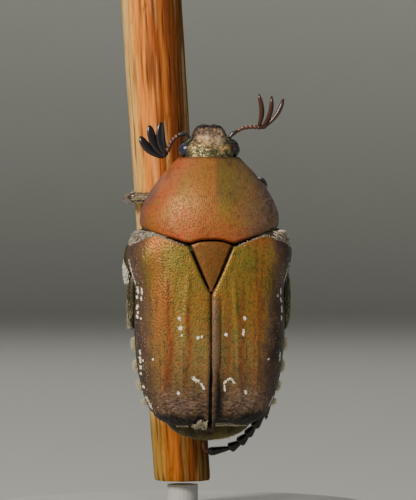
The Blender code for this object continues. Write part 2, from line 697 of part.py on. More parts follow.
def main():
    clear_scene()
    cuticle = material("copper_cuticle", COPPER_RED, 0.3, 0.7)
    olive = material("olive_cuticle", OLIVE_GOLD, 0.3, 0.7)
    face = material("head_cuticle", HEAD_GREEN, 0.32, 0.7)
    bronze = material("dark_bronze", DARK_BRONZE, 0.35, 0.6)
    black = material("black_brown", BLACK_BROWN, 0.3, 0.3)
    chestnut = material("chestnut", CHESTNUT, 0.3, 0.2)
    straw = material("dry_stem", STRAW, 0.7, 0.0)
    grey = material("stand_paint", GREY_PAINT, 0.5, 0.0)

    foot = stem_axis(STEM_BOTTOM)
    rod_low = STEM_BOTTOM - GAP - ROD_LENGTH
    base_low = rod_low - GAP - BASE_THICK
    beetle = bpy.data.objects.new("beetle", None)
    beetle.location = Vector((-foot[0], -foot[1], -base_low)) * MM
    bpy.context.scene.collection.objects.link(beetle)

    finish_node(build_head(beetle), face)
    finish_node(build_pronotum(beetle), cuticle)
    finish_node(build_scutellum(beetle), cuticle)
    finish_node(build_thorax(beetle), bronze)
    finish_node(build_abdomen(beetle), bronze)
    finish_node(build_pygidium(beetle), olive)
    for side in (-1, 1):
        finish_node(build_eye(beetle, side), black)
        finish_node(build_elytron(beetle, side), olive)
    finish_node(build_antenna("antenna_left", ANTENNA_LEFT, beetle), chestnut)
    finish_node(build_antenna("antenna_right", ANTENNA_RIGHT, beetle), chestnut)
    for name, plan in LEGS.items():
        finish_node(build_leg(name, plan, beetle), bronze)
    finish_node(build_stem(beetle), straw)
    finish_node(round_slab("stand_rod", ROD_RADIUS, rod_low, ROD_LENGTH, 24, beetle, foot), grey)
    base = round_slab("stand_base", BASE_RADIUS, base_low, BASE_THICK, 64, beetle, foot)
    bevel = base.modifiers.new("edge", "BEVEL")
    bevel.width = BASE_BEVEL * MM
    bevel.segments = 2
    bevel.limit_method = "ANGLE"
    finish_node(base, grey)


main()
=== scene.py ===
"""Looks of the olive flower beetle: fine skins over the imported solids, coat, stem, studio and camera.

The beetle is worked out in millimetres in its own axes: its back faces -Y, its head points to +Z,
its left side is -X, and z = 0 is the middle of its length.
"""

import math

import bpy
import numpy as np
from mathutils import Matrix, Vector


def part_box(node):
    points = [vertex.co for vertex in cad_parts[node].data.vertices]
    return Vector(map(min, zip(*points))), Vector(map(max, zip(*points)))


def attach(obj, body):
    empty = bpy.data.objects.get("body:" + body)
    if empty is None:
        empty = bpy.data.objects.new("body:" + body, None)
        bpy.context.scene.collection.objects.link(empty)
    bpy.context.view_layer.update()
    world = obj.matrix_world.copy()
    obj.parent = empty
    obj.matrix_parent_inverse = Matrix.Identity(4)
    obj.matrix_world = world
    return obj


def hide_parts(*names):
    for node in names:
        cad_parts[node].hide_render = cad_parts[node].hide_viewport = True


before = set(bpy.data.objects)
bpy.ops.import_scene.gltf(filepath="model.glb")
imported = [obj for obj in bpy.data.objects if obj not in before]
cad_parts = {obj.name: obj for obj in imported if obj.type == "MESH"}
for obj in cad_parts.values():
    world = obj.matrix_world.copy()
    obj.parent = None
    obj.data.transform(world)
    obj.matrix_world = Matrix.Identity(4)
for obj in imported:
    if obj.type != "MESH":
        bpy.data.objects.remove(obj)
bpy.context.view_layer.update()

MM = 0.001
rng = np.random.default_rng(7)

# Sizes shared with the solids, in millimetres.
GAP = 0.28
SUTURE_TIP = -9.2
WING_TIP = -8.95
WING_FRONT = 2.3
SHELL_FRONT = 2.5
SPINE = 0.68
SHIELD_REAR = 3.3
SHIELD_FRONT = 7.93
HEAD_REAR = 7.7
HEAD_FRONT = 9.94
THORAX_FRONT = 2.75
THORAX_REAR = -2.0
BELLY_REAR = -8.62
PYGIDIUM_HALF = 2.75
PYGIDIUM_BASE = -8.55
PYGIDIUM_TIP = -10.0
PYGIDIUM_DEPTH = 2.3
PYGIDIUM_UP = 1.0
PYGIDIUM_DOWN = 0.88
STEM_DEPTH = 7.3
STEM_AXIS_X = -2.34
STEM_LEAN = -0.065
STEM_RADIUS = 1.97
STEM_TAPER = 0.005
STEM_TOP = 19.3
STEM_BOTTOM = -12.9
SCUTELLUM_HALF = 1.3
SCUTELLUM_FRONT = 2.42
SCUTELLUM_TIP = -0.5
BELLY_BULGE = 1.75
SHIELD_BULGE = 1.7
ELYTRON_BULGE = 2.7
FLANK_DROP = 0.3
HULL_INSET = 0.12
HIP_HALF = 0.4

# Sizes of the skins alone: wall thickness, the slit round the small plate, and how far the body lies
# inside the wing cases.
WING_WALL = 0.32
SCUTELLUM_WALL = 0.3
SCUTELLUM_GAP = 0.13
HULL_COVER = 0.5

# The photo's framing: its scale on the beetle, and the pixel of the beetle's own origin.
PHOTO_WIDE, PHOTO_TALL = 416, 500
MM_PER_PIXEL = 0.0629
ORIGIN_PIXEL = (209.6, 283.0)
CAMERA_DISTANCE = 200.0
CAMERA_TURN = math.radians(-2)

# Profiles of the body as (height, value) pairs, and its edges as (distance from the midline, height).
PRONOTUM_HALF = ((3.3, 4.27), (3.9, 4.34), (4.8, 4.15), (5.6, 3.78), (6.5, 3.14), (7.3, 2.45), (7.93, 1.84))
PRONOTUM_CREST = ((2.5, -2.9), (3.7, -3.06), (4.8, -2.92), (5.9, -2.45), (6.9, -1.75), (7.93, -0.8))
PRONOTUM_RIM = ((3.3, 0.7), (5.5, 0.9), (7.93, 1.15))
PRONOTUM_VENTER = ((2.5, 2.3), (4.0, 2.9), (5.6, 2.95), (7.0, 2.6), (7.93, 2.1))
REAR_EDGE = (
    (0.0, 2.7), (0.7, 2.65), (1.36, 2.47), (2.08, 2.66), (2.75, 2.85), (3.52, 3.09), (4.0, 3.3), (4.35, 3.55),
)
ELYTRON_HALF = (
    (-9.2, 1.1), (-8.95, 2.3), (-8.6, 3.1), (-8.1, 3.58), (-7.5, 3.93), (-6.6, 4.21), (-5.6, 4.44),
    (-4.4, 4.6), (-2.8, 4.69), (-0.9, 4.71), (0.1, 4.8), (1.0, 5.02), (1.8, 5.14), (2.5, 5.06),
)
ELYTRON_CREST = (
    (-9.2, 0.25), (-8.6, -0.65), (-7.6, -1.6), (-6.2, -2.4), (-4.4, -2.9),
    (-2.0, -3.1), (0.8, -3.1), (2.6, -2.95),
)
ELYTRON_RIM = ((-9.2, 1.0), (-7.0, 0.75), (-4.0, 0.5), (-1.0, 0.42), (1.0, 0.62), (2.6, 0.75))
FRONT_EDGE = (
    (0.0, 2.3), (1.5, 2.3), (2.1, 2.53), (2.75, 2.78), (3.4, 2.98), (3.8, 2.9), (4.2, 2.7), (5.1, 2.4),
)
VENTER = ((-8.6, 3.1), (-7.0, 3.5), (-4.5, 3.75), (-1.5, 3.85), (1.0, 3.8), (3.2, 2.9))
HEAD_HALF = (
    (7.7, 1.52), (8.2, 1.58), (8.6, 1.52), (8.95, 1.27), (9.25, 1.06),
    (9.5, 0.96), (9.7, 0.82), (9.86, 0.64), (9.94, 0.4),
)
HEAD_CREST = ((7.7, -0.72), (8.2, -0.62), (8.8, -0.3), (9.4, 0.25), (9.94, 0.95))
HEAD_VENTER = ((7.7, 2.1), (8.2, 2.3), (9.0, 2.35), (9.6, 1.95), (9.94, 1.35))
THORAX_EDGE = (
    (0.0, 2.6), (1.36, 2.4), (2.08, 2.6), (2.75, 2.84), (3.52, 3.1), (4.2, 3.45), (4.6, 3.15), (5.0, 2.5),
)
FLANK_INSET = ((-4.1, 0.12), (-3.4, 0.5), (-2.6, 0.72), (-1.9, 0.75))


def along(table, t):
    """Smooth values at t, a number or an array, of a table of rising (t, value) pairs."""
    at = np.array([pair[0] for pair in table])
    value = np.array([pair[1] for pair in table])
    slope = np.empty(len(at))
    slope[1:-1] = (value[2:] - value[:-2]) / (at[2:] - at[:-2])
    slope[0] = (value[1] - value[0]) / (at[1] - at[0])
    slope[-1] = (value[-1] - value[-2]) / (at[-1] - at[-2])
    t = np.clip(t, at[0], at[-1])
    k = np.clip(np.searchsorted(at, t, side="right") - 1, 0, len(at) - 2)
    wide = at[k + 1] - at[k]
    s = (t - at[k]) / wide
    return (
        (2 * s**3 - 3 * s**2 + 1) * value[k] + (s**3 - 2 * s**2 + s) * wide * slope[k]
        + (3 * s**2 - 2 * s**3) * value[k + 1] + (s**3 - s**2) * wide * slope[k + 1]
    )


def rise(low, high, t):
    """Smooth step from 0 at low to 1 at high, which may be the smaller."""
    s = np.clip((t - low) / (high - low), 0, 1)
    return s * s * (3 - 2 * s)


def hump(t, middle, wide):
    return np.exp(-((t - middle) / wide) ** 2)


LATTICE = rng.random((64, 64))


def noise(x, y):
    """Smooth seeded noise from 0 to 1, on a plane in units of about one bump."""
    x, y = np.asarray(x, float), np.asarray(y, float)
    i, j = np.floor(x).astype(int), np.floor(y).astype(int)
    u, v = x - i, y - j
    u, v = u * u * (3 - 2 * u), v * v * (3 - 2 * v)
    a, b = LATTICE[i % 64, j % 64], LATTICE[(i + 1) % 64, j % 64]
    c, d = LATTICE[i % 64, (j + 1) % 64], LATTICE[(i + 1) % 64, (j + 1) % 64]
    return (a * (1 - u) + b * u) * (1 - v) + (c * (1 - u) + d * u) * v


def srgb(red, green, blue):
    """A linear colour from everyday 0 to 255 values."""
    share = np.array([red, green, blue]) / 255
    return np.where(share <= 0.04045, share / 12.92, ((share + 0.055) / 1.055) ** 2.4)


def blend(first, second, amount):
    """Mixes two colours, or arrays of them, by an array of amounts."""
    amount = np.asarray(amount)[..., None]
    return np.asarray(first) * (1 - amount) + np.asarray(second) * amount


def layered(colour, *layers):
    """Lays (tone, amount) layers over a colour, one after another."""
    for tone, amount in layers:
        colour = blend(colour, tone, amount)
    return colour


def mirrored(path, side):
    """A path of the right side, or its mirror image on the left."""
    return [(side * x, y, z) for x, y, z in path]


def unit(vector):
    return vector / np.linalg.norm(vector)


def unit_rows(vectors):
    return vectors / np.maximum(np.linalg.norm(vectors, axis=-1, keepdims=True), 1e-9)


def beetle_origin():
    """The beetle's own origin in the frame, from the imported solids' boxes."""
    shield_low, shield_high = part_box("pronotum")
    wing_low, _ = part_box("elytron_left")
    stem_low, stem_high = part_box("perch_stem")
    middle = (shield_low[0] + shield_high[0]) / 2
    stem_y = (stem_low[1] + stem_high[1]) / 2
    return np.array([middle, stem_y - STEM_DEPTH * MM, wing_low[2] - SUTURE_TIP * MM])


ORIGIN = beetle_origin()


def painted_mesh(name, points, faces, tints, material):
    """A smooth painted piece of the one body, from points in the beetle's millimetres."""
    mesh = bpy.data.meshes.new(name)
    mesh.from_pydata((points * MM + ORIGIN).tolist(), [], faces)
    paint = mesh.color_attributes.new("paint", "FLOAT_COLOR", "POINT")
    paint.data.foreach_set("color", np.concatenate([tints, np.ones((len(tints), 1))], axis=1).ravel())
    mesh.polygons.foreach_set("use_smooth", np.ones(len(mesh.polygons), bool))
    mesh.materials.append(material)
    piece = bpy.data.objects.new(name, mesh)
    bpy.context.scene.collection.objects.link(piece)
    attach(piece, "root")
    return piece


class Skin:
    """Gathers grids of points in the beetle's millimetres into one mesh with a painted colour."""

    def __init__(self):
        self.points, self.faces, self.colours = [], [], []
        self.count = 0

    def grid(self, points, colour, wrap=False, caps=False, flip=False):
        """Adds a grid of rows by columns. Wrap joins the last column to the first."""
        rows, columns = points.shape[:2]
        index = np.arange(rows * columns).reshape(rows, columns) + self.count
        if wrap:
            index = np.concatenate([index, index[:, :1]], axis=1)
        quads = np.stack([index[:-1, :-1], index[1:, :-1], index[1:, 1:], index[:-1, 1:]], axis=-1).reshape(-1, 4)
        if flip:
            quads = quads[:, ::-1]
        self.faces += quads.tolist()
        tint = np.broadcast_to(colour, points.shape)
        self.add_points(points.reshape(-1, 3), tint.reshape(-1, 3))
        if caps:
            for row, turned in ((0, False), (rows - 1, True)):
                self.cap(points[row], index[row], tint[row], turned != flip)

    def cap(self, ring, index, tint, turned):
        """Closes an end ring with a fan round its middle."""
        middle = self.count
        self.add_points(ring.mean(axis=0)[None], tint.mean(axis=0)[None])
        closed = list(index) if index[0] == index[-1] else list(index) + [index[0]]
        for a, b in zip(closed, closed[1:]):
            self.faces.append([middle, b, a] if turned else [middle, a, b])

    def add_points(self, points, tint):
        self.points.append(points)
        self.colours.append(tint)
        self.count += len(points)

    def make(self, name, material, *replaced):
        """The finished piece, which stands for the replaced nodes."""
        points, colours = np.concatenate(self.points), np.concatenate(self.colours)
        piece = painted_mesh(name, points, self.faces, colours, material)
        if replaced:
            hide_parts(*replaced)
        return piece


def grid_normals(points, wrap=False):
    """Unit normals of a grid by central differences."""
    down = np.gradient(points, axis=0)
    if wrap:
        over = (np.roll(points, -1, axis=1) - np.roll(points, 1, axis=1)) / 2
    else:
        over = np.gradient(points, axis=1)
    return unit_rows(np.cross(down, over))


def outward(points, normal, depth):
    """Turns round the normals that point to the body's middle line, which lies at a depth."""
    middle = points * (0, 0, 1) + np.array([0, depth, 0])
    side = np.sum((points - middle) * normal, axis=-1, keepdims=True)
    return np.where(side < 0, -normal, normal)


def thicken(piece, thick):
    """Gives a sheet its wall, which grows inwards."""
    wall = piece.modifiers.new("wall", "SOLIDIFY")
    wall.thickness = thick * MM
    wall.offset = -1


# Materials

class Look:
    """A material in the making. Its sizes are in millimetres, and its tone starts as the skin's paint."""

    def __init__(self, name, stretch=(1, 1, 1)):
        self.made = bpy.data.materials.new(name)
        self.made.use_nodes = True
        self.tree = self.made.node_tree
        self.shader = self.tree.nodes["Principled BSDF"]
        self.place = self.stretched(stretch)
        self.tone = None

    def node(self, kind, **values):
        """A node with the given inputs and settings."""
        made = self.tree.nodes.new("ShaderNode" + kind)
        for key, value in values.items():
            if key in made.inputs.keys():
                made.inputs[key].default_value = value
            else:
                setattr(made, key, value)
        return made

    def put(self, value, socket):
        """Gives a socket its value, which is a socket, a number or a colour."""
        if isinstance(value, bpy.types.NodeSocket):
            self.tree.links.new(value, socket)
        elif isinstance(value, (int, float)):
            socket.default_value = value
        else:
            socket.default_value = (*value, 1.0)

    def stretched(self, factors):
        """Object coordinates stretched by three factors."""
        mapping = self.node("Mapping", Scale=factors)
        self.put(self.node("TexCoord").outputs["Object"], mapping.inputs["Vector"])
        return mapping.outputs["Vector"]

    def paint(self):
        return self.node("Attribute", attribute_name="paint").outputs["Color"]

    def texture(self, kind, size, place, values):
        made = self.node(kind, Scale=1 / (size * MM), **values)
        self.put(place, made.inputs["Vector"])
        return made.outputs

    def clouds(self, size, place=None, **values):
        """Soft noise with lumps of a size."""
        return self.texture("TexNoise", size, place or self.place, values)["Fac"]

    def cells(self, size, **values):
        """The way from the middles of round cells of a size."""
        return self.texture("TexVoronoi", size, self.place, values)["Distance"]

    def spread(self, value, low, high, to_low=0.0, to_high=1.0):
        """A value's stretch from low to high, spread out from to_low to to_high."""
        made = self.node("MapRange", **{"From Min": low, "From Max": high, "To Min": to_low, "To Max": to_high})
        self.put(value, made.inputs["Value"])
        return made.outputs["Result"]

    def mixed(self, first, second, factor, mode="MIX"):
        mix = self.node("Mix", data_type="RGBA", blend_type=mode)
        for place, value in ((0, factor), (6, first), (7, second)):
            self.put(value, mix.inputs[place])
        return mix.outputs[2]

    def tint(self, colour, factor):
        """Multiplies the tone by a colour, as far as the factor says."""
        self.tone = self.mixed(self.tone or self.paint(), colour, factor, "MULTIPLY")

    def done(self, rough, bumps=(), **numbers):
        """The material, with bumps of (height, depth, strength) and numbers for its other inputs."""
        self.put(self.tone, self.shader.inputs["Base Color"])
        self.put(rough, self.shader.inputs["Roughness"])
        for name, number in numbers.items():
            self.put(number, self.shader.inputs[name.replace("_", " ")])
        normal = None
        for height, depth, strength in bumps:
            bump = self.node("Bump", Strength=strength, Distance=depth * MM)
            self.put(height, bump.inputs["Height"])
            if normal:
                self.put(normal, bump.inputs["Normal"])
            normal = bump.outputs["Normal"]
        if normal:
            self.put(normal, self.shader.inputs["Normal"])
        return self.made


def cuticle(name, grain, pit, rough, metal, pit_depth=0.02, speckle=0.5, wrinkle=0.01):
    """Painted satin shell with fine pits of a size, stretched by the grain factors, with painted shade darkening
    the pits.
    """
    look = Look(name, grain)
    hollow = look.spread(look.cells(pit, Randomness=0.85), 0.04, 0.55)
    cloud = look.clouds(pit * 4, Detail=5.0, Roughness=0.65)
    glint = look.clouds(pit * 0.55, Detail=3.0, Roughness=0.7)
    look.tint((1.5, 1.0, 0.72), look.spread(glint, 0.46, 0.7, 0.0, speckle))
    look.tint((0.62, 0.9, 0.6), look.spread(glint, 0.48, 0.3, 0.0, speckle))
    look.tint((0.72, 0.78, 0.8), look.spread(cloud, 0.52, 0.72, 0.0, speckle))
    # Painted shade darkens the pits.
    look.tint(look.mixed((0.3, 0.26, 0.24), (1.0, 1.0, 1.0), hollow), 0.75)
    return look.done(
        look.spread(cloud, 0.3, 0.7, rough - 0.05, rough + 0.09),
        [(hollow, pit_depth, 0.7), (glint, wrinkle, 0.5)],
        Metallic=metal, Specular_IOR_Level=0.35, Coat_Weight=0.08, Coat_Roughness=0.5,
    )


def glossy(name, rough, metal):
    """Painted smooth chitin with a fine grain."""
    look = Look(name)
    cloud = look.clouds(0.08, Detail=3.0)
    look.tint((0.7, 0.62, 0.55), look.spread(cloud, 0.4, 0.75, 0.0, 0.7))
    return look.done(rough, [(cloud, 0.006, 0.7)], Metallic=metal, Coat_Weight=0.4, Coat_Roughness=0.12)


def eye_material():
    """Faceted eye, black with a painted sheen."""
    look = Look("faceted_eye")
    facets = look.cells(0.05, Randomness=0.25)
    look.tone = look.mixed((0.004, 0.004, 0.005), look.paint(), look.spread(facets, 0.1, 0.6))
    domes = look.spread(facets, 0.0, 0.6, 1.0, 0.0)
    return look.done(0.2, [(domes, 0.008, 0.5)], Coat_Weight=0.15, Coat_Roughness=0.08)


def matt(name, rough, sheen, mottle):
    """Painted dull surface, for scales and hairs."""
    look = Look(name)
    look.tint((0.8, 0.76, 0.7), look.spread(look.clouds(0.2, Detail=2.0), 0.35, 0.7, 0.0, mottle))
    return look.done(rough, Sheen_Weight=sheen)


def stem_material():
    """Dry stalk: painted streaks crossed by fine lengthwise fibres."""
    look = Look("dry_stalk", (1, 1, 0.045))
    fibre = look.clouds(0.14, Detail=5.0, Roughness=0.7)
    fleck = look.clouds(0.3, look.stretched((1, 1, 0.3)), Detail=3.0)
    look.tint((0.52, 0.44, 0.38), look.spread(fibre, 0.45, 0.7, 0.0, 0.8))
    look.tint((1.25, 1.2, 1.1), look.spread(fibre, 0.5, 0.3, 0.0, 0.7))
    look.tint((0.5, 0.4, 0.33), look.spread(fleck, 0.62, 0.72, 0.0, 0.6))
    rough = look.spread(fibre, 0.3, 0.7, 0.5, 0.8)
    return look.done(rough, [(fibre, 0.05, 0.8), (fleck, 0.03, 0.3)], Specular_IOR_Level=0.15)


def stand_material():
    """Plain warm grey with a faint moulded grain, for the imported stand."""
    look = Look("stand_grey")
    grain = look.clouds(0.25, Detail=4.0)
    broad = look.spread(look.clouds(6, Detail=2.0), 0.35, 0.65)
    look.tone = look.mixed((0.43, 0.42, 0.40), (0.36, 0.355, 0.34), broad)
    return look.done(look.spread(grain, 0.3, 0.7, 0.42, 0.6), [(grain, 0.02, 0.35)])


def backdrop_material():
    """Pale clouded wall over a greyer floor, which is painted darker to even out the stronger light that falls on
    it.
    """
    look = Look("backdrop")
    wall = look.mixed((0.78, 0.78, 0.74), (0.82, 0.815, 0.78), look.clouds(WALL_CLOUD, Detail=2.0))
    axes = look.node("SeparateXYZ")
    look.put(look.place, axes.inputs["Vector"])
    # Painted shade: the floor is darker than the wall to even out the brighter light on it.
    look.tone = look.mixed((0.4, 0.4, 0.38), wall, look.spread(axes.outputs["Z"], 0.0, 0.12))
    return look.done(0.95, Specular_IOR_Level=0.0)


# Colours of the beetle, as seen in daylight.
OLIVE = srgb(148, 110, 42)
GREEN = srgb(124, 114, 40)
DULL_OLIVE = srgb(86, 72, 40)
ORANGE = srgb(168, 90, 38)
RED = srgb(182, 80, 42)
RIB_RED = srgb(142, 72, 34)
COPPER = srgb(138, 80, 34)
BRASS = srgb(116, 84, 34)
PLUM = srgb(102, 75, 70)
UMBER = srgb(34, 25, 22)
BLACK = srgb(14, 11, 11)
GREY_PLUM = srgb(120, 96, 90)
# Pale plum of the wing tips, also painted as glints near the shield's right edge.
TIP_PLUM = srgb(166, 138, 134)
# Painted highlight on the crests of the tip's wrinkles.
TIP_GLINT = srgb(206, 176, 164)
GREY_TAN = srgb(168, 150, 120)
BRONZE = srgb(66, 57, 28)
DARK_BRONZE = srgb(30, 26, 15)
PLATE_GREY = srgb(70, 60, 46)
PLATE_OLIVE = srgb(58, 52, 28)
CHESTNUT = srgb(56, 25, 12)
HEAD_GOLD = srgb(224, 186, 134)
HEAD_BROWN = srgb(122, 94, 70)
HEAD_GREEN = srgb(92, 106, 76)
HEAD_ROSE = srgb(214, 176, 186)
HEAD_GREY = srgb(98, 84, 80)
# Painted highlights of the head, gold and pale.
HEAD_GOLD_HIGHLIGHT = srgb(255, 222, 172)
HEAD_PALE_HIGHLIGHT = srgb(240, 222, 190)
HEAD_DIM = np.array([0.92, 0.87, 0.78])
# The eyes' painted sheen: bluish on the left eye, brown on the right one.
EYE_BLUE = srgb(44, 42, 62)
EYE_BROWN = srgb(46, 28, 26)
TAIL_DARK = srgb(44, 40, 16)
TAIL_OLIVE = srgb(84, 76, 34)
TAIL_GREEN = srgb(128, 122, 52)
LEG_BROWN = srgb(84, 50, 32)
CLAW_RED = srgb(112, 56, 28)
SCAPE_GREY = srgb(52, 42, 40)
CLUB_BROWN = srgb(72, 34, 16)
CLUB_BLACK = srgb(30, 20, 24)
BEAD_BROWN = srgb(104, 66, 50)
CREAM = srgb(236, 222, 192)
WHITE = srgb(252, 248, 236)
STRAW_HAIR = srgb(206, 188, 148)
GREY_HAIR = srgb(196, 188, 176)
DUN_HAIR = srgb(150, 126, 92)
TAWNY_HAIR = srgb(150, 118, 70)
BROWN_HAIR = srgb(120, 80, 40)
TAIL_HAIR = srgb(150, 136, 80)
WEDGE_DARK, WEDGE_PALE = srgb(124, 104, 84), srgb(250, 236, 214)
PATCH_SHADE = srgb(110, 94, 62)


# The wing cases

# Bosses of a wing case, and hollows below zero: height, then middle and half width across and along.
BOSSES = ((0.13, 4.15, 0.6, 1.5, 0.8), (0.15, 2.9, 0.75, -7.15, 0.6), (-0.1, 4.55, 0.45, -0.4, 1.1))
# Coppery bands: tone, strength, distance from the suture on the left and the right, half width,
# then the heights where each starts and is full.
COPPER_BANDS = (
    (RIB_RED, 1, (2.64, 1.95), 0.17, 0.8, -1.2), (RIB_RED, 0.8, (1.45, 1.1), 0.13, 0.0, -2.0),
    (ORANGE, 0.7, (3.4, 3.0), 0.35, -5.5, -2.5),
)


def elytron_point(side, height, theta, z):
    """A point of a wing case, at an angle round it from the suture."""
    half, crest, rim = (along(table, height) for table in (ELYTRON_HALF, ELYTRON_CREST, ELYTRON_RIM))
    power = 2 / ELYTRON_BULGE
    x = side * half * np.sin(theta) ** power
    y = rim + (crest - rim) * np.abs(np.cos(theta)) ** power
    return np.stack(np.broadcast_arrays(x, y, z), axis=-1)


def theta_of(x, half):
    return np.arcsin(np.clip(x / half, 0, 1) ** (ELYTRON_BULGE / 2))


def girth_of(theta, half):
    """About how far a place lies from the suture, measured round the shell."""
    return 1.05 * half * theta


def scutellum_half(height):
    """Half the width of the small plate between the wing cases, below zero past its tip."""
    share = (SCUTELLUM_FRONT - height) / (SCUTELLUM_FRONT - SCUTELLUM_TIP)
    inside = SCUTELLUM_HALF * np.clip(1 - share, 0, 1) ** 0.9
    return np.where(share >= 1, -SCUTELLUM_HALF * (share - 1), inside)


def right_ridge(z):
    """Half the width of the raised band beside the suture, which narrows to the rear."""
    return 0.43 - 0.15 * rise(-4.8, -6.6, z)


def crinkle(girth, z):
    """Short crosswise wrinkles, from 0 to 1."""
    slant = z + 0.25 * noise(girth * 1.3, z * 0.8)
    return 0.55 * noise(girth * 4.7, slant * 12) + 0.45 * noise(girth * 8.3 + 11, slant * 19 + 3)


def elytron_relief(side, x, z, girth):
    """Height of ribs, bosses and hollows. The girth is the way round from the suture."""
    rib_fade = rise(0.9, -0.6, z) * rise(-7.6, -6.2, z)
    drift = 0.05 * (z + 3)
    height = 0.05 * hump(x, 1.6 - drift, 0.15) * rib_fade + 0.055 * hump(x, 2.85 - drift * 0.5, 0.18) * rib_fade
    height -= 0.035 * hump(x, 2.2 - drift, 0.25) * rib_fade
    if side > 0:
        ridge = right_ridge(z)
        groove = 0.05 * hump(x, ridge + 0.12, 0.09)
        below = rise(-0.3, -1.8, z)
        height += 0.09 * rise(ridge + 0.06, ridge - 0.06, x) * below - groove * below
    else:
        height += 0.09 * hump(x, 0.14, 0.14) * rise(-2.5, -5, z)
    hollow = 0.14 if side > 0 else 0.04
    height -= hollow * hump(x, 0.62, 0.24) * rise(-4.0, -6.4, z) * rise(-9.2, -8.6, z)
    for tall, x_middle, x_wide, z_middle, z_wide in BOSSES:
        height += tall * hump(x, x_middle, x_wide) * hump(z, z_middle, z_wide)
    height += (crinkle(girth, z) - 0.5) * (0.09 * rise(-5.0, -8.0, z) + 0.03 * rise(3.5, 4.3, x))
    return height + 0.012 * (noise(girth * 3.5, z * 2.5) - 0.5) + 0.008 * (noise(girth * 10, z * 7) - 0.5)


def elytron_colour(side, x, z, girth):
    """Olive gold with coppery lengthwise bands, greener at the shoulder, plum at the sides and tip, with painted
    shade and a painted highlight beside the suture.
    """
    grit = noise(girth * 9, z * 12)
    colour = disc_colour(side, x, z, girth)
    colour = margin_colour(colour, side, x, z, girth, grit)
    colour = tip_colour(colour, side, x, z, girth, grit)
    if side < 0:
        return layered(
            colour,
            # Painted highlight along the left ridge beside the suture.
            (GREY_PLUM, 0.75 * rise(0.26, 0.14, x) * rise(-5.0, -6.5, z)),
            # Painted shade in the hollow beside the left suture.
            (UMBER, 0.12 * hump(x, 0.5, 0.25) * rise(-5.6, -7.5, z)),
        )
    ridge = right_ridge(z)
    return layered(
        colour,
        # Painted shadow of the right ridge.
        (UMBER, 0.35 * hump(x, 0.8, 0.3) * rise(-1.5, -3.5, z)),
        (GREY_PLUM, 0.7 * rise(ridge + 0.05, ridge - 0.1, x) * rise(-0.4, -1.6, z)),
        # Painted shade in the groove beside the right ridge.
        (UMBER, 0.85 * hump(x, ridge + 0.11, 0.07) * rise(-0.4, -1.6, z)),
        # Painted shadow in the impression beside the suture at the rear.
        (BLACK, 0.95 * hump(x, 0.55, 0.2) * rise(-5.2, -6.8, z)),
    )


def disc_colour(side, x, z, girth):
    """The middle of a wing case, with its bands, streaks and grain."""
    band = x + 0.3 * (noise(girth * 0.8 + side * 9, z * 0.5) - 0.5)
    strong = rise(-7.8, -6.0, z) * (0.8 if side < 0 else 0.6)
    patchy = 0.4 + 0.6 * noise(girth * 2, z * 2)
    colour = layered(
        OLIVE,
        (GREEN, 0.8 * noise(girth * 1.7 + 3, z * 0.9 + 5)),
        (GREY_TAN, 0.22 * rise(-1.0, -5.0, z)),
        (ORANGE, 0.7 * strong * hump(band, 2.75, 0.5) * rise(2.2, 0.6, z) * patchy),
    )
    for tone, share, middles, wide, start, full in COPPER_BANDS:
        amount = share * strong * hump(band, middles[side > 0], wide) * rise(start, full, z)
        colour = blend(colour, tone, amount)
    grain = noise(girth * 6 + 4, z * 5)
    return layered(
        colour,
        (GREEN, 0.85 * hump(x, 2.1, 1.1) * hump(z, 1.4, 1.1)),
        (RED, 0.3 * hump(z, 2.6, 0.3) * rise(0.8, 2.6, x)),
        (UMBER, 0.35 * rise(0.6, 0.9, noise(girth * 7 + side, z * 0.7))),
        (UMBER, 0.3 * rise(0.62, 0.9, grain)),
        (ORANGE, 0.4 * rise(0.36, 0.1, grain)),
    )


def margin_colour(colour, side, x, z, girth, grit):
    """The plum outer side, with a dark rim; on the right both reach further in and are darker, as painted shade.
    """
    edge = x - 0.09 * np.abs(z + 1.5) * rise(-1.5, 1.5, z) + 0.5 * (noise(girth * 2, z * 2) - 0.5)
    # On the right the plum reaches further in and the rim is darker: painted shade on the side away from the
    # light.
    edge = edge + (0.2 + 0.35 * rise(-2.0, -5.0, z)) * (side > 0) - 0.3 * hump(z, 0.4, 1.5)
    dark = rise(4.0, 4.7, edge) if side > 0 else 0.55 * rise(4.1, 4.75, edge)
    return layered(
        colour,
        (PLUM, rise(3.2, 4.35, edge) * (0.7 + 0.3 * rise(0.2, 0.6, grit))),
        (UMBER, dark * (0.6 + 0.4 * rise(0.3, 0.7, grit))),
        (UMBER, 0.5 * rise(4.5, 4.85, x + 0.12 * np.abs(z + 1.5)) * rise(0.8, -0.8, z)),
    )


def tip_colour(colour, side, x, z, girth, grit):
    """The wrinkled plum tip, speckled and pale in the middle, with a black end, painted shade between the wrinkles
    and painted highlights on their crests.
    """
    speckled = np.clip(0.62 + 0.7 * (grit - 0.5) + 0.4 * (noise(girth * 3, z * 3) - 0.5), 0, 1)
    low = z + 0.9 * (noise(girth * 1.4, z * 1.2) - 0.5) + 0.12 * np.abs(x - 2.2)
    bright = -7.55 if side < 0 else -7.25
    wrinkled = crinkle(girth, z)
    outer_tip = 0.22 * rise(1.4, 3.0, x) * (side > 0)
    end = z - 0.09 * x - outer_tip + 0.12 * (noise(girth * 3, z * 5) - 0.5)
    return layered(
        colour,
        (PLUM, 0.9 * rise(-4.4, -8.0, low) * speckled),
        (TIP_PLUM, 0.65 * hump(x, 2.0, 1.3) * hump(z, bright, 0.8) * speckled),
        (UMBER, 0.5 * rise(3.0, 4.2, x) * rise(-3.0, -6.8, z)),
        # Painted shade between the wrinkles.
        (UMBER, 0.65 * rise(0.5, 0.28, wrinkled) * rise(-5.2, -8.2, z)),
        # Painted highlights on the wrinkles' crests.
        (TIP_GLINT, 0.3 * rise(0.54, 0.76, wrinkled) * rise(-5.6, -7.6, z) * rise(3.9, 2.4, x)),
        (BLACK, 0.95 * rise(-8.25, -8.7, end)),
    )


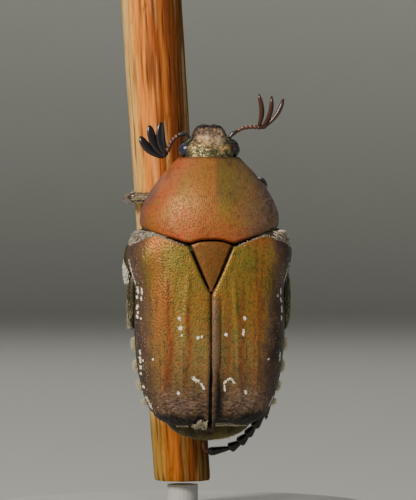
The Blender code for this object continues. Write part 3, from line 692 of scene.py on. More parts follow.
def elytron_grid(side, rows=250, columns=120):
    """The smooth shell's points, with their x, z, share across and girth."""
    share = np.linspace(0, 1, rows)[:, None]
    height = WING_FRONT + (WING_TIP - WING_FRONT) * np.sin(math.pi / 2 * share**1.12)
    half = along(ELYTRON_HALF, height)
    seam = 0.03 + 0.09 * rise(-4.5, -6.5, height)
    first = theta_of(np.maximum(seam, scutellum_half(height) + SCUTELLUM_GAP), half)
    across = np.linspace(0, 1, columns)[None] ** 0.9
    theta = first + (math.pi / 2 - first) * across
    x = half * np.sin(theta) ** (2 / ELYTRON_BULGE)
    z = height + np.clip(1 - share / 0.3, 0, 1) * (along(FRONT_EDGE, x) - WING_FRONT)
    spine = rise(0.84, 1, share) * hump(x, 0.08, 0.16)
    notch = 0.52 * hump(x, 0.58, 0.36) if side < 0 else 0.2 * hump(x, 0.85, 0.6)
    z = z - SPINE * spine + notch * rise(0.72, 1, share)
    points = elytron_point(side, height, theta, z)
    points[..., 1] += 0.85 * spine
    return points, np.abs(points[..., 0]), points[..., 2], across + 0 * height, girth_of(theta, half)


def build_elytron(side, material):
    points, x, z, across, girth = elytron_grid(side)
    normal = outward(points, grid_normals(points), 1.5)
    height = elytron_relief(side, x, z, girth) + 0.05 * hump(across, 0.985, 0.02)
    edge = np.linspace(0, 1, len(points))[:, None]
    height = height - 0.05 * hump(edge, 0, 0.012) - 0.06 * hump(edge, 1, 0.01) - 0.05 * hump(across, 0, 0.006)
    points = points + normal * height[..., None]
    skin = Skin()
    skin.grid(points, elytron_colour(side, x, z, girth), flip=side < 0)
    name = "left" if side < 0 else "right"
    thicken(skin.make("wing_case_" + name, material, "elytron_" + name), WING_WALL)


def build_scutellum(material):
    share = np.linspace(0, 1, 90)[:, None]
    across = np.linspace(-1, 1, 70)[None]
    height = SCUTELLUM_FRONT + (SCUTELLUM_TIP - SCUTELLUM_FRONT) * share
    x = (np.maximum(scutellum_half(height), 0.06) - 0.01) * across
    z = height + (1 - share) ** 3 * (along(REAR_EDGE, np.abs(x)) - 0.09 - SCUTELLUM_FRONT)
    points = elytron_point(1, height, theta_of(np.abs(x), along(ELYTRON_HALF, height)), z)
    points[..., 0] = x
    dome = 0.07 * (1 - across**2) * np.sin(math.pi * np.clip(share * 0.9 + 0.1, 0, 1))
    lip = 0.06 * hump(np.abs(across), 1, 0.06) + 0.05 * hump(share, 0, 0.03)
    points[..., 1] -= dome - lip + 0.01 * (noise(x * 5, z * 5) - 0.5)
    colour = blend(COPPER, BRASS, 0.3 + 0.6 * noise(x * 2.2, z * 2.2))
    colour = blend(colour, UMBER, 0.7 * rise(0.86, 1.0, np.abs(across) + 0 * share))
    skin = Skin()
    skin.grid(points, colour)
    thicken(skin.make("scutellum_skin", material, "scutellum"), SCUTELLUM_WALL)


# The shield, the head and the body

def oval_grid(heights, half, crest, rim, venter, bulge_top, bulge_low, columns):
    """Body rings: a fuller upper half from rim to crest and a lower half from rim to venter."""
    turn = np.linspace(0, math.tau, columns, endpoint=False)[None]
    upper = np.sin(turn) >= 0
    power = np.where(upper, 2 / bulge_top, 2 / bulge_low)
    x = half * np.sign(np.cos(turn)) * np.abs(np.cos(turn)) ** power
    reach = np.abs(np.sin(turn)) ** power
    y = rim + reach * (np.where(upper, crest, venter) - rim)
    return np.stack(np.broadcast_arrays(x, y, heights + 0 * x), axis=-1), turn + 0 * x


def build_pronotum(material):
    share = np.linspace(0, 1, 190)[:, None]
    height = SHIELD_REAR + (SHIELD_FRONT - SHIELD_REAR) * (1 - (1 - share) ** 1.15)
    tuck = 0.14 * np.exp(-((share / 0.012) ** 2)) + 0.16 * rise(0.985, 1.0, share)
    points, turn = oval_grid(
        height, along(PRONOTUM_HALF, height) - tuck, along(PRONOTUM_CREST, height) + tuck,
        along(PRONOTUM_RIM, height), along(PRONOTUM_VENTER, height) - tuck, 2.3, 1.7, 260,
    )
    sweep = np.clip(1 - share / 0.4, 0, 1)
    points[..., 2] += sweep * (along(REAR_EDGE, np.abs(points[..., 0])) - SHIELD_REAR)
    normal = outward(points, grid_normals(points, True), 0.8)
    x, z = points[..., 0], points[..., 2]
    from_rim = np.abs(np.abs(np.angle(np.exp(1j * (turn - math.pi / 2)))) - math.pi / 2)
    top = np.sin(turn) > -0.05
    lift = 0.07 * hump(from_rim, 0.06, 0.05) * top - 0.05 * hump(from_rim, 0.2, 0.09) * top
    lift += 0.016 * (noise(x * 2, z * 2) - 0.5) + 0.008 * (noise(x * 10, z * 5) - 0.5)
    lift -= 0.03 * hump(share, 0.0, 0.02)
    points = points + normal * lift[..., None]
    skin = Skin()
    skin.grid(points, pronotum_colour(points, np.sin(turn)), wrap=True, caps=True)
    skin.make("shield", material, "pronotum")


def pronotum_colour(points, lift):
    """Coppery red at the base and left, golden olive in the middle, plum at the sides, with painted grey glints
    near the right edge.
    """
    x, z = points[..., 0], points[..., 2]
    cloud = noise(x * 1.1 + 7, z * 0.9)
    grain = noise(x * 6 + 4, z * 5)
    base = 0.75 * rise(4.9, 3.1, z) * rise(4.0, 2.6, np.abs(x)) * (0.45 + 0.55 * noise(x * 1.6, z * 3))
    middle = 0.9 * rise(0.1, 0.45, x) * rise(2.6, 1.2, x) * rise(4.2, 5.6, z)
    outer = np.abs(x) + 0.42 * (z - 4) + 0.2 * (x > 0) + 0.4 * (noise(x * 2, z * 2) - 0.5)
    edges = 0.6 * rise(7.7, 7.93, z) + 0.5 * rise(0.12, 0.0, z - along(REAR_EDGE, np.abs(x)))
    return layered(
        blend(OLIVE, ORANGE, np.clip(0.22 - 0.07 * x + 0.8 * (cloud - 0.5), 0, 1)),
        (RED, base),
        (RED, 0.6 * rise(-1.9, -3.3, x - 0.55 * (z - 5)) * rise(3.2, 4.8, z)),
        (DULL_OLIVE, middle * (0.4 + 0.6 * cloud)),
        (RED, 0.3 * hump(x, 0.15, 0.3) * rise(3.5, 5, z)),
        (GREEN, 0.6 * hump(x, 0.9, 0.7) * hump(z, 5.8, 1.6) * noise(x * 2, z * 2 + 3)),
        (GREEN, 0.5 * rise(0.8, 2.6, x) * noise(x * 1.5, z * 1.5)),
        (UMBER, 0.28 * rise(0.62, 0.9, grain)),
        (GREEN, 0.4 * rise(0.36, 0.1, grain)),
        (GREY_PLUM, 0.5 * rise(0.6, 3.3, x) * (0.6 + 0.6 * noise(x * 1.6 + 2, z * 1.6))),
        (PLUM, 0.85 * rise(3.75, 4.5, outer)),
        # Painted grey glints near the right edge.
        (TIP_PLUM, 0.45 * rise(2.8, 3.5, x) * rise(0.35, 0.65, noise(x * 7, z * 7))),
        (UMBER, edges),
        (DARK_BRONZE, rise(0.0, -0.25, lift)),
    )


# The ridge before each eye and the bar across it, on the right side.
CHEEK = ((0.9, 0.35, 9.15), (1.2, 0.3, 8.95), (1.5, 0.36, 8.7), (1.62, 0.5, 8.42))
CANTHUS = ((1.2, 0.55, 9.1), (1.6, 0.55, 8.95), (1.86, 0.66, 8.7))


def build_head(material, dark):
    share = np.linspace(0, 1, 120)[:, None]
    height = HEAD_REAR + (HEAD_FRONT - HEAD_REAR) * np.sin(math.pi / 2 * share) ** 0.8
    points, turn = oval_grid(
        height, along(HEAD_HALF, height), along(HEAD_CREST, height), 1.0 + 0 * height,
        along(HEAD_VENTER, height), 2.8, 2.2, 160,
    )
    points[..., 2] -= 0.05 * hump(points[..., 0], 0, 0.22) * rise(9.7, HEAD_FRONT, height)
    x, z = points[..., 0], points[..., 2]
    normal = outward(points, grid_normals(points, True), 1.0)
    top = rise(0.0, 0.3, np.sin(turn))
    reach = np.abs(x) / along(HEAD_HALF, height)
    border = rise(0.72, 0.95, reach) * rise(8.95, 9.3, z)
    brow = 0.06 * hump(x, 0.0, 0.35) * rise(9.5, 8.9, z) - 0.04 * hump(np.abs(x), 0.62, 0.2) * rise(9.3, 8.8, z)
    lift = 0.1 * (np.maximum(border, rise(9.66, 9.84, z + 0.1 * reach**2)) * top)
    lift -= 0.07 * hump(z, 9.5, 0.2) * rise(0.9, 0.6, reach) * top
    lift += brow * top
    lift += 0.05 * (0.3 - noise(x * 7 + 3, z * 7) * noise(x * 13, z * 11 + 7)) * rise(7.9, 8.3, z)
    skin = Skin()
    colour = blend(head_colour(x, z, reach, border), DARK_BRONZE, rise(0.05, -0.2, np.sin(turn)))
    skin.grid(points + normal * lift[..., None], colour, wrap=True, caps=True)
    for side in (-1, 1):
        cheek, canthus = mirrored(CHEEK, side), mirrored(CANTHUS, side)
        add_limb(skin, cheek, (0.14, 0.18, 0.14, 0.05), 0.45, (0.3 * side, 0, 1), blend(HEAD_GREEN, UMBER, 0.75))
        add_limb(skin, canthus, (0.12, 0.1, 0.03), 0.5, (0, 1, 0.3), blend(HEAD_GREEN, UMBER, 0.85))
    skin.make("head_skin", material, "head")
    build_mouth(dark)


def head_colour(x, z, reach, border):
    """Mottled gold and brown, greener behind, rosy and grey in front, with a dark rim and two painted highlights.
    """
    wander = 0.5 * (noise(x * 2, z * 2) - 0.5)
    behind = rise(9.1, 8.2, z + wander) * (0.3 + 0.6 * rise(0.35, 0.6, noise(x * 5 + 9, z * 8)))
    colour = layered(
        HEAD_GOLD,
        (HEAD_BROWN, rise(0.3, 0.68, noise(x * 6, z * 6))),
        (HEAD_GREEN, behind),
        (HEAD_GREEN, 0.6 * rise(0.6, 0.8, noise(x * 9, z * 9))),
        (UMBER, 0.75 * rise(0.62, 0.8, noise(x * 12 + 2, z * 12 + 6))),
        (HEAD_ROSE, 0.8 * rise(0.66, 0.82, noise(x * 11 + 5, z * 11)) * rise(8.6, 9.2, z)),
    )
    front = 0.6 * rise(9.2, 9.5, z + 0.3 * (noise(x * 3, z * 3) - 0.5))
    return layered(
        colour * HEAD_DIM,
        (blend(HEAD_GREEN, UMBER, 0.35), 0.6 * rise(0.72, 1.0, reach)),
        (HEAD_GREY, np.maximum(front, 0.5 * rise(0.5, 0.8, reach) * rise(8.7, 9.2, z))),
        # Two painted highlights, gold on the left and pale on the right.
        (HEAD_GOLD_HIGHLIGHT, 0.65 * hump(x, -0.32, 0.3) * hump(z, 9.1, 0.22)),
        (HEAD_PALE_HIGHLIGHT, 0.5 * hump(x, 0.45, 0.3) * hump(z, 8.95, 0.3)),
        (UMBER, 0.95 * np.maximum(rise(9.7, 9.8, z + 0.1 * reach**2), 0.85 * border)),
    )


CHIN = ((0, 2.1, 8.3), (0, 2.35, 8.7), (0, 2.3, 9.2), (0, 2.0, 9.55))
# The joints of the right outer palp, and the right inner one.
PALP = ((0.5, 1.9, 8.75), (0.68, 2.35, 8.92), (0.85, 2.62, 9.12), (0.88, 2.72, 9.4), (0.8, 2.7, 9.68))
INNER_PALP = ((0.3, 2.3, 8.9), (0.32, 2.5, 9.2), (0.28, 2.45, 9.5))


def build_mouth(material):
    """The chin plate, and the two pairs of palps, the outer ones jointed."""
    skin = Skin()
    add_limb(skin, CHIN, (0.45, 0.6, 0.5, 0.25), 0.35, (1, 0, 0), DARK_BRONZE)
    for side in (-1, 1):
        joints = mirrored(PALP, side)
        for first, second in zip(joints, joints[1:]):
            add_limb(skin, [first, second], (0.08, 0.13), 1.0, (1, 0, 0), CHESTNUT, taper=True)
        add_limb(skin, mirrored(INNER_PALP, side), (0.07, 0.09, 0.05), 1.0, (1, 0, 0), CHESTNUT)
    skin.make("mouthparts", material)


EYE_MIDDLE = (1.34, 0.72, 8.4)
EYE_HALVES = (0.6, 0.62, 0.54)


def build_eyes(material):
    up = np.linspace(-math.pi / 2 + 0.05, math.pi / 2 - 0.05, 40)[:, None]
    turn = np.linspace(0, math.tau, 56, endpoint=False)[None]
    for side, name, tint in ((-1, "left", EYE_BLUE), (1, "right", EYE_BROWN)):
        points = np.stack(np.broadcast_arrays(
            side * (EYE_MIDDLE[0] + EYE_HALVES[0] * np.cos(up) * np.cos(turn)),
            EYE_MIDDLE[1] + EYE_HALVES[1] * np.cos(up) * np.sin(turn),
            EYE_MIDDLE[2] + EYE_HALVES[2] * np.sin(up),
        ), axis=-1)
        skin = Skin()
        skin.grid(points, tint, wrap=True, caps=True, flip=side > 0)
        skin.make("eye_" + name + "_dome", material, "eye_" + name)


def hull_grid(heights, inset, edge, rows_top=34, rows_low=60):
    """Rings of the body under the wing cases: inside them above, out to the flank below."""
    wide, crest, rim, venter = (
        along(table, heights) for table in (ELYTRON_HALF, ELYTRON_CREST, ELYTRON_RIM, VENTER)
    )
    theta = np.linspace(0, math.pi / 2, rows_top)[None]
    top_x = (wide - HULL_COVER) * np.sin(theta) ** (2 / ELYTRON_BULGE)
    top_y = rim + (crest + HULL_COVER - rim) * np.cos(theta) ** (2 / ELYTRON_BULGE)
    flank = rim + FLANK_DROP
    theta = np.linspace(0, math.pi / 2, rows_low)[None]
    low_x = (wide - inset) * np.cos(theta) ** (2 / BELLY_BULGE)
    low_y = flank + (venter - flank) * np.sin(theta) ** (2 / BELLY_BULGE)
    x = np.concatenate([top_x, low_x], axis=1)
    y = np.concatenate([top_y, low_y], axis=1)
    x = np.concatenate([x, -x[:, -2:0:-1]], axis=1)
    y = np.concatenate([y, y[:, -2:0:-1]], axis=1)
    z = heights + edge(np.abs(x)) * np.ones_like(x)
    low = np.repeat([0.0, 1.0, 0.0], [rows_top, 2 * rows_low - 1, rows_top - 1])
    return np.stack([x, y, z], axis=-1), low[None] * np.ones_like(x)


# Forms of the breast's right side, with their half widths: the wedge and the plate at the shoulder,
# the plate beside the hind hip, and the flank between them. Then the process between the middle legs.
SHOULDER_WEDGE = ((3.8, 1.9, 2.3), (4.15, 1.1, 2.66), (4.45, 0.4, 2.9), (4.6, 0.0, 2.98))
WEDGE_HALVES = (0.5, 0.66, 0.62, 0.3)
SHOULDER_PLATE = (
    (2.75, -2.2, 2.8), (3.4, -1.98, 2.98), (3.8, -1.75, 3.0),
    (4.2, -1.42, 2.98), (4.55, -1.0, 2.93), (4.85, -0.2, 2.66),
)
PLATE_HALVES = (0.1, 0.13, 0.2, 0.3, 0.4, 0.2)
COXAL_PLATE = (
    (4.6, 1.5, 1.3), (4.74, 1.55, 0.9), (4.8, 1.6, -0.2), (4.8, 1.65, -1.6),
    (4.82, 1.75, -2.6), (4.84, 1.85, -2.98),
)
COXAL_HALVES = (0.1, 0.32, 0.4, 0.4, 0.36, 0.12)
FLANK_PLATE = ((4.7, 1.5, 2.7), (5.0, 1.3, 2.2), (5.05, 1.25, 1.2), (4.95, 1.3, 0.2))
FLANK_HALVES = (0.15, 0.3, 0.32, 0.12)
PROCESS = ((0, 3.0, 0.2), (0, 3.7, 0.9), (0, 4.05, 1.5), (0, 4.1, 1.9), (0, 3.95, 2.15))
# How much further in the right flank's forms sit than the left one's.
RIGHT_INSET = 0.5


def build_thorax(material):
    share = np.linspace(0, 1, 110)[:, None]
    height = THORAX_FRONT + (THORAX_REAR - THORAX_FRONT) * share
    sweep = np.clip(1 - share / 0.45, 0, 1)

    def edge(x):
        return np.maximum(height - SHELL_FRONT, 0) + sweep * (along(THORAX_EDGE, x) - THORAX_FRONT)

    points, low = hull_grid(np.minimum(height, SHELL_FRONT), HULL_INSET, edge)
    normal = outward(points, grid_normals(points, True), 0.8)
    x, z = np.abs(points[..., 0]), points[..., 2]
    groove = hump(x, 0.0, 0.05) * rise(1.2, 0.2, z) + hump(z + 0.25 * x, -0.35, 0.07) * rise(0.4, 1.0, x)
    groove = groove + hump(z - 0.35 * x, 1.05, 0.07) * rise(0.9, 1.4, x) + hump(x, 3.65 - 0.12 * z, 0.06)
    groove = np.clip(groove, 0, 1)
    lift = -0.09 * groove * low + 0.03 * (noise(x * 6, z * 6) - 0.5) * low
    colour = layered(DARK_BRONZE, (BRONZE, 0.3 + 0.6 * noise(x * 2, z * 2)), (UMBER, groove))
    skin = Skin()
    skin.grid(points + normal * lift[..., None], colour, wrap=True, caps=True)
    add_limb(skin, PROCESS, (0.4, 0.45, 0.42, 0.34, 0.12), 0.5, (1, 0, 0), BRONZE)
    for side in (-1, 1):
        add_limb(skin, mirrored(SHOULDER_WEDGE, side), WEDGE_HALVES, 0.35, (side * 0.8, 0.1, -0.6), BRONZE)
        add_limb(skin, mirrored(SHOULDER_PLATE, side), PLATE_HALVES, 0.35, (0, 0, 1), PLATE_GREY)
        add_limb(skin, mirrored(COXAL_PLATE, side), COXAL_HALVES, 1.75, (1, 0, 0), PLATE_OLIVE)
        add_limb(skin, flank_path(FLANK_PLATE, side), FLANK_HALVES, 1.4, (1, 0, 0), BRONZE)
    skin.make("breast", material, "thorax")


def flank_path(path, side):
    """A path on the right flank, or its mirror image on the left, further out."""
    inset = RIGHT_INSET if side > 0 else 0.0
    return [(side * (x - inset), y, z) for x, y, z in path]


# Where the belly's plates meet.
STERNITES = (-2.95, -4.05, -5.15, -6.2, -7.2)


def build_abdomen(material):
    share = np.linspace(0, 1, 170)[:, None]
    height = THORAX_REAR + (BELLY_REAR - THORAX_REAR) * share
    points, low = hull_grid(height, along(FLANK_INSET, height), lambda x: 0 * x)
    normal = outward(points, grid_normals(points, True), 0.8)
    x, z = np.abs(points[..., 0]), points[..., 2]
    bow = z - 0.05 * x**1.3
    step = np.zeros_like(x)
    groove = np.zeros_like(x)
    for line in STERNITES:
        groove += hump(bow, line, 0.045)
        step += 0.07 * rise(line + 0.5, line + 0.02, bow) * (bow > line)
    lift = (step - 0.07 * groove) * low + 0.02 * (noise(x * 7, z * 7) - 0.5)
    colour = layered(DARK_BRONZE, (BRONZE, 0.2 + 0.5 * noise(x * 2, z * 3)), (UMBER, np.clip(groove, 0, 1)))
    skin = Skin()
    skin.grid(points + normal * lift[..., None], colour, wrap=True, caps=True)
    skin.make("belly", material, "abdomen")


def pygidium_point(angle, around):
    """A point of the last plate, from its rim to its hindmost point and round it."""
    x = PYGIDIUM_HALF * np.cos(angle) * np.sign(np.cos(around)) * np.abs(np.cos(around)) ** 0.9
    reach = np.where(np.sin(around) > 0, PYGIDIUM_DOWN, PYGIDIUM_UP)
    y = PYGIDIUM_DEPTH + reach * np.cos(angle) * np.sign(np.sin(around)) * np.abs(np.sin(around)) ** 0.9
    z = PYGIDIUM_BASE - (PYGIDIUM_BASE - PYGIDIUM_TIP) * np.sin(angle)
    z = z - 0.25 * np.cos(angle) * (1 - np.abs(np.cos(around)))
    return np.stack(np.broadcast_arrays(x, y, z), axis=-1)


def build_pygidium(material):
    angle = np.radians(np.linspace(-6, 89, 70))[:, None]
    around = np.linspace(0, math.tau, 160, endpoint=False)[None]
    points = pygidium_point(angle, around)
    x, y = points[..., 0], points[..., 1]
    points[..., 2] += 0.012 * np.sin(math.tau * 7 * np.sin(angle) + 3 * noise(x * 2, y * 2))
    colour = layered(
        TAIL_DARK,
        (TAIL_OLIVE, noise(x * 3, y * 4)),
        (TAIL_GREEN, 0.7 * rise(-9.4, -9.85, points[..., 2]) * rise(-1.5, 1.5, x)),
    )
    skin = Skin()
    skin.grid(points, colour, wrap=True, caps=True)
    skin.make("tail_plate", material, "pygidium")


# Limbs

def distances(path):
    """How far each point of a path lies from its start, along it."""
    return np.concatenate([[0], np.cumsum(np.linalg.norm(np.diff(path, axis=0), axis=1))])


def smooth_path(path, count):
    """Evenly shared points on a smooth curve through the path."""
    path = np.array(path, float)
    if len(path) == 2:
        share = np.linspace(0, 1, count)[:, None]
        return path[0] * (1 - share) + path[1] * share
    run = distances(path)
    at = np.linspace(0, run[-1], count)
    return np.stack([along(tuple(zip(run, row)), at) for row in path.T], axis=-1)


def tube(path, halves, flat, side, sides=20):
    """Oval rings of the given half widths along a dense path."""
    run = unit_rows(np.gradient(path, axis=0))
    side = np.asarray(side, float)
    across = unit_rows(side - run * (run @ side)[:, None])
    up = np.cross(run, across)
    turn = np.linspace(0, math.tau, sides, endpoint=False)
    ring = across[:, None] * np.cos(turn)[None, :, None] + up[:, None] * flat * np.sin(turn)[None, :, None]
    return path[:, None] + ring * halves[:, None, None]


def evenly(values, share):
    """Smooth values at shares of a length over which the given values are spread evenly."""
    return along(tuple(zip(np.linspace(0, 1, len(values)), values)), share)


def rounded(left, part):
    """Narrows a limb to a round end over the last part of its length."""
    return np.sqrt(np.clip(1 - (1 - left / part).clip(0, 1) ** 2, 0.02, 1))


def add_limb(skin, path, halves, flat, side, colour, taper=False, sides=20, count=28):
    """Adds one closed rounded piece along a path. A tapering one is rounded at its far end alone."""
    share = np.linspace(0, 1, count)
    ends = rounded(1 - share, 0.12) if taper else rounded(np.minimum(share, 1 - share), 0.07)
    rings = tube(smooth_path(path, count), evenly(halves, share) * ends, flat, side, sides)
    skin.grid(rings, colour, wrap=True, caps=True, flip=True)


def stem_point(height, degrees, lift=0.0):
    """A point round the perch, at an angle from the side that faces the beetle towards its right."""
    turn = np.radians(degrees)
    reach = STEM_RADIUS + STEM_TAPER * height + lift
    return (STEM_AXIS_X + STEM_LEAN * height + reach * np.sin(turn), STEM_DEPTH - reach * np.cos(turn), height)


# Each leg: the hip's x and height, the knee, the ankle, then the foot's path.
LEGS = {
    "leg_front_left": ((-1.2, 5.3), (-4.82, 3.1, 5.45), stem_point(5.35, -68, 0.5),
                       [stem_point(5.35, -88, 0.4), stem_point(5.5, -120, 0.38), stem_point(5.7, -148, 0.32)]),
    "leg_front_right": ((1.2, 5.3), (3.45, 4.1, 6.3), (0.65, 6.0, 6.9),
                        [(0.1, 6.6, 7.1), stem_point(7.35, 98, 0.4), stem_point(7.7, 128, 0.32)]),
    "leg_middle_left": ((-1.3, 0.6), (-4.45, 3.55, -0.9), stem_point(-0.3, -66, 0.5),
                        [stem_point(0.0, -86, 0.42), stem_point(0.5, -120, 0.38), stem_point(0.9, -148, 0.32)]),
    "leg_middle_right": ((1.3, 0.6), (4.3, 3.55, -0.9), (1.6, 5.75, -0.7),
                         [(0.95, 6.2, -0.6), (0.35, 6.75, -0.4), stem_point(0.0, 98, 0.32)]),
    "leg_hind_left": ((-1.3, -2.4), (-4.2, 3.5, -4.3), stem_point(-5.2, -62, 0.5),
                      [stem_point(-5.45, -84, 0.42), stem_point(-6.0, -118, 0.38), stem_point(-6.4, -148, 0.32)]),
    "leg_hind_right": ((1.3, -2.4), (4.3, 3.6, -5.0), (3.5, 4.4, -8.65),
                       [(2.8, 4.85, -9.6), (2.15, 5.2, -10.32), (1.3, 5.45, -10.8),
                        (0.7, 5.55, -10.95), (0.15, 5.6, -10.97)]),
}
FEMUR = (0.32, 0.5, 0.59, 0.61, 0.57, 0.49, 0.44, 0.4)
TIBIA = (0.3, 0.32, 0.31, 0.33, 0.37, 0.41, 0.43, 0.36)
TOE = (0.13, 0.19, 0.24, 0.28, 0.31, 0.24)
FEMUR_FLAT, TIBIA_FLAT = 0.75, 0.68
# Where the five parts of a foot end, of the 60 steps of its path.
TOE_ENDS = (0, 11, 21, 31, 41, 60)


def belly(x, height):
    """How far down the underside reaches at a place."""
    if height > 3.0:
        half, rim, venter = (along(table, height) for table in (PRONOTUM_HALF, PRONOTUM_RIM, PRONOTUM_VENTER))
        bulge = SHIELD_BULGE
    else:
        half = along(ELYTRON_HALF, height) - HULL_INSET
        rim = along(ELYTRON_RIM, height) + GAP + FLANK_DROP
        venter, bulge = along(VENTER, height), BELLY_BULGE
    return rim + (venter - rim) * (1 - (abs(x) / half) ** bulge) ** (1 / bulge)


def leg_bones(plan):
    """The named points and directions of one leg."""
    (hip_x, hip_z), knee, ankle, toes = plan
    hip = np.array([hip_x, belly(hip_x, hip_z) + GAP + HIP_HALF, hip_z])
    knee, ankle = np.array(knee), np.array(ankle)
    thigh, shin = unit(knee - hip), unit(ankle - knee)
    bend = unit(shin - thigh * (shin @ thigh))
    outer = unit(thigh - shin * (thigh @ shin))
    foot = smooth_path([ankle] + [np.array(toe) for toe in toes], 61)
    return hip, knee, ankle, thigh, shin, bend, outer, foot


def build_leg(name, plan, material):
    hip, knee, ankle, thigh, shin, bend, outer, foot = leg_bones(plan)
    skin = Skin()
    colour = blend(DARK_BRONZE, LEG_BROWN, 0.55)
    inward = np.array([-hip[0] * 0.45, -0.25, 0.5])
    add_limb(skin, [hip + inward, hip + inward * 0.4, hip], (0.3, 0.42, 0.34), 1.0, thigh, colour)
    add_limb(skin, [hip - thigh * 0.1, knee], FEMUR, FEMUR_FLAT, bend, colour, sides=28, count=44)
    swell = 1.25 if name == "leg_front_right" else 1
    cap = [knee - thigh * 0.34, knee - thigh * 0.05, knee + thigh * 0.2 * swell**2]
    add_limb(skin, cap, (0.3, 0.43 * swell, 0.3 * swell), 0.85, bend, colour)
    add_limb(skin, [knee - shin * 0.16, ankle], TIBIA, TIBIA_FLAT, outer, colour, sides=24, count=44)
    middle = knee * 0.4 + ankle * 0.6
    ridge = [knee + shin * 0.4 + outer * 0.25, middle + outer * 0.33, ankle - shin * 0.2 + outer * 0.34]
    add_limb(skin, ridge, (0.04, 0.07, 0.05), 0.8, outer, UMBER, sides=8)
    add_teeth(skin, name, knee, ankle, shin, outer)
    for k in range(5):
        first, last = foot[TOE_ENDS[k]], foot[TOE_ENDS[k + 1]]
        back = unit(last - first) * 0.06
        slim = (0.9 if k < 4 else 0.75) * (1.25 if name == "leg_hind_right" else 1)
        halves = [slim * half for half in TOE]
        add_limb(skin, [first - back, last + back], halves, 0.9, bend, BLACK, sides=14, count=20)
    add_claws(skin, foot, 1.0 if name == "leg_hind_right" else 0.0)
    skin.make(name + "_skin", material, name)


def add_teeth(skin, name, knee, ankle, shin, outer):
    """Outer teeth, a crown of short spines and the two spurs of a shin."""
    length = np.linalg.norm(ankle - knee)
    front = "front" in name
    for share in (0.5, 0.74, 0.96) if front else (0.5, 0.94):
        root = knee + shin * length * share + outer * 0.12
        tip = root + outer * 0.3 + shin * 0.18
        add_limb(skin, [root, tip], (0.2, 0.15, 0.03), 0.7, shin, UMBER, sides=10, count=12)
    side = np.cross(shin, outer)
    for k in range(7):
        lean = math.cos(math.pi * k / 6)
        root = ankle - shin * 0.12 + outer * 0.3 * lean + side * 0.16 * math.sin(math.pi * k / 6)
        add_limb(skin, [root, root + shin * 0.24 + outer * 0.08 * lean], (0.05, 0.01), 1.0, outer, UMBER, sides=6, count=6)
    for turn in (-1, 1):
        root = ankle - shin * 0.12
        tip = ankle + shin * 0.42 - outer * (0.22 + 0.05 * turn) + side * 0.14 * turn
        add_limb(skin, [root, tip], (0.09, 0.07, 0.015), 1.0, outer, UMBER, sides=8, count=10)


def add_claws(skin, foot, lift):
    """Two thin hooked claws, bent towards the perch, or upwards by the share lift."""
    tip, run = foot[-1], unit(foot[-1] - foot[-4])
    axis = np.array([STEM_AXIS_X + STEM_LEAN * tip[2], STEM_DEPTH, tip[2]])
    aim = unit(axis - tip) * (1 - lift) + np.array([0, 0.3, 1.0]) * lift
    down = unit(aim - run * (aim @ run))
    across = np.cross(run, down)
    down = down * (1 + 0.9 * lift)
    tint = blend(CHESTNUT, CLAW_RED, lift)
    for side in (-1, 1):
        path = [
            tip - run * 0.1, tip + run * 0.16 + across * side * 0.1,
            tip + run * 0.34 + across * side * 0.17 + down * 0.1,
            tip + run * 0.4 + across * side * 0.18 + down * 0.36,
        ]
        add_limb(skin, path, (0.08, 0.08, 0.06, 0.012), 1.0, across + down * 0.2, tint, sides=10, count=20)


# Each feeler: its scape, its stalk, then the leaves' tips, roots, bend, thickness, flat side and colour.
ANTENNAE = {
    "antenna_right": {
        "scape": ((1.2, 0.95, 9.05), (1.47, 1.0, 9.4), (1.8, 1.0, 9.62)),
        "beads": ((1.8, 1.0, 9.6), (2.15, 1.0, 9.78), (2.65, 1.0, 9.86), (3.3, 1.0, 9.84)),
        "tips": ((3.12, 0.7, 11.95), (3.95, 0.9, 11.85), (4.72, 1.1, 11.7)),
        "roots": ((3.15, 0.9, 9.9), (3.42, 1.0, 9.86), (3.6, 1.1, 9.9)),
        "bow": (0.2, 0.0, -0.06), "broad": (0.16, 0.15, 0.15), "face": (0.2, 1, 0), "tint": CLUB_BROWN,
    },
    "antenna_left": {
        "scape": ((-1.2, 0.95, 9.1), (-1.5, 1.0, 9.4), (-1.95, 1.0, 9.35)),
        "beads": ((-1.95, 1.0, 9.32), (-2.35, 1.2, 8.95), (-2.55, 1.4, 8.5), (-2.8, 1.6, 8.1)),
        "tips": ((-3.0, 1.5, 10.2), (-3.75, 1.7, 10.0), (-4.35, 1.9, 9.3)),
        "roots": ((-2.7, 1.4, 8.2), (-2.8, 1.6, 8.1), (-2.85, 1.8, 8.0)),
        "bow": (-0.18, 0.0, -0.15), "broad": (0.14, 0.14, 0.17), "face": (1, 0.3, 0.5), "tint": CLUB_BLACK,
    },
}


# Half widths of a leaf of the feelers along it, from 0 to 1.
LEAF = ((0, 0.16), (0.15, 0.24), (0.5, 0.3), (0.8, 0.26), (0.95, 0.15), (1, 0.03))
LEAF_WIDEST = 0.3


def build_antenna(name, plan, material):
    skin = Skin()
    add_limb(skin, plan["scape"], (0.08, 0.14, 0.17, 0.13), 0.9, (0, 1, 0), SCAPE_GREY, sides=16)
    share = np.linspace(0, 1, 90)
    bead = np.abs(np.sin(math.pi * 6 * share)) ** 0.6
    widths = (0.075 + 0.06 * bead) * (1 + 0.25 * share)
    stalk = tube(smooth_path(plan["beads"], 90), widths, 1.0, (0, 1, 0), 16)
    skin.grid(stalk, blend(CHESTNUT, BEAD_BROWN, bead)[:, None], wrap=True, caps=True, flip=True)
    add_limb(skin, plan["roots"], (0.13, 0.15, 0.13), 1.0, (0, 0, 1), plan["tint"], sides=14, count=14)
    share = np.linspace(0, 1, 40)[:, None]
    widths = along(LEAF, share[:, 0])
    for root, tip, broad in zip(plan["roots"], plan["tips"], plan["broad"]):
        straight = np.array(root) * (1 - share) + np.array(tip) * share
        path = straight + np.array(plan["bow"]) * np.sin(math.pi * share)
        leaf = tube(path, widths, broad / LEAF_WIDEST, plan["face"], 20)
        skin.grid(leaf, plan["tint"], wrap=True, caps=True, flip=True)
    skin.make(name + "_skin", material, name)


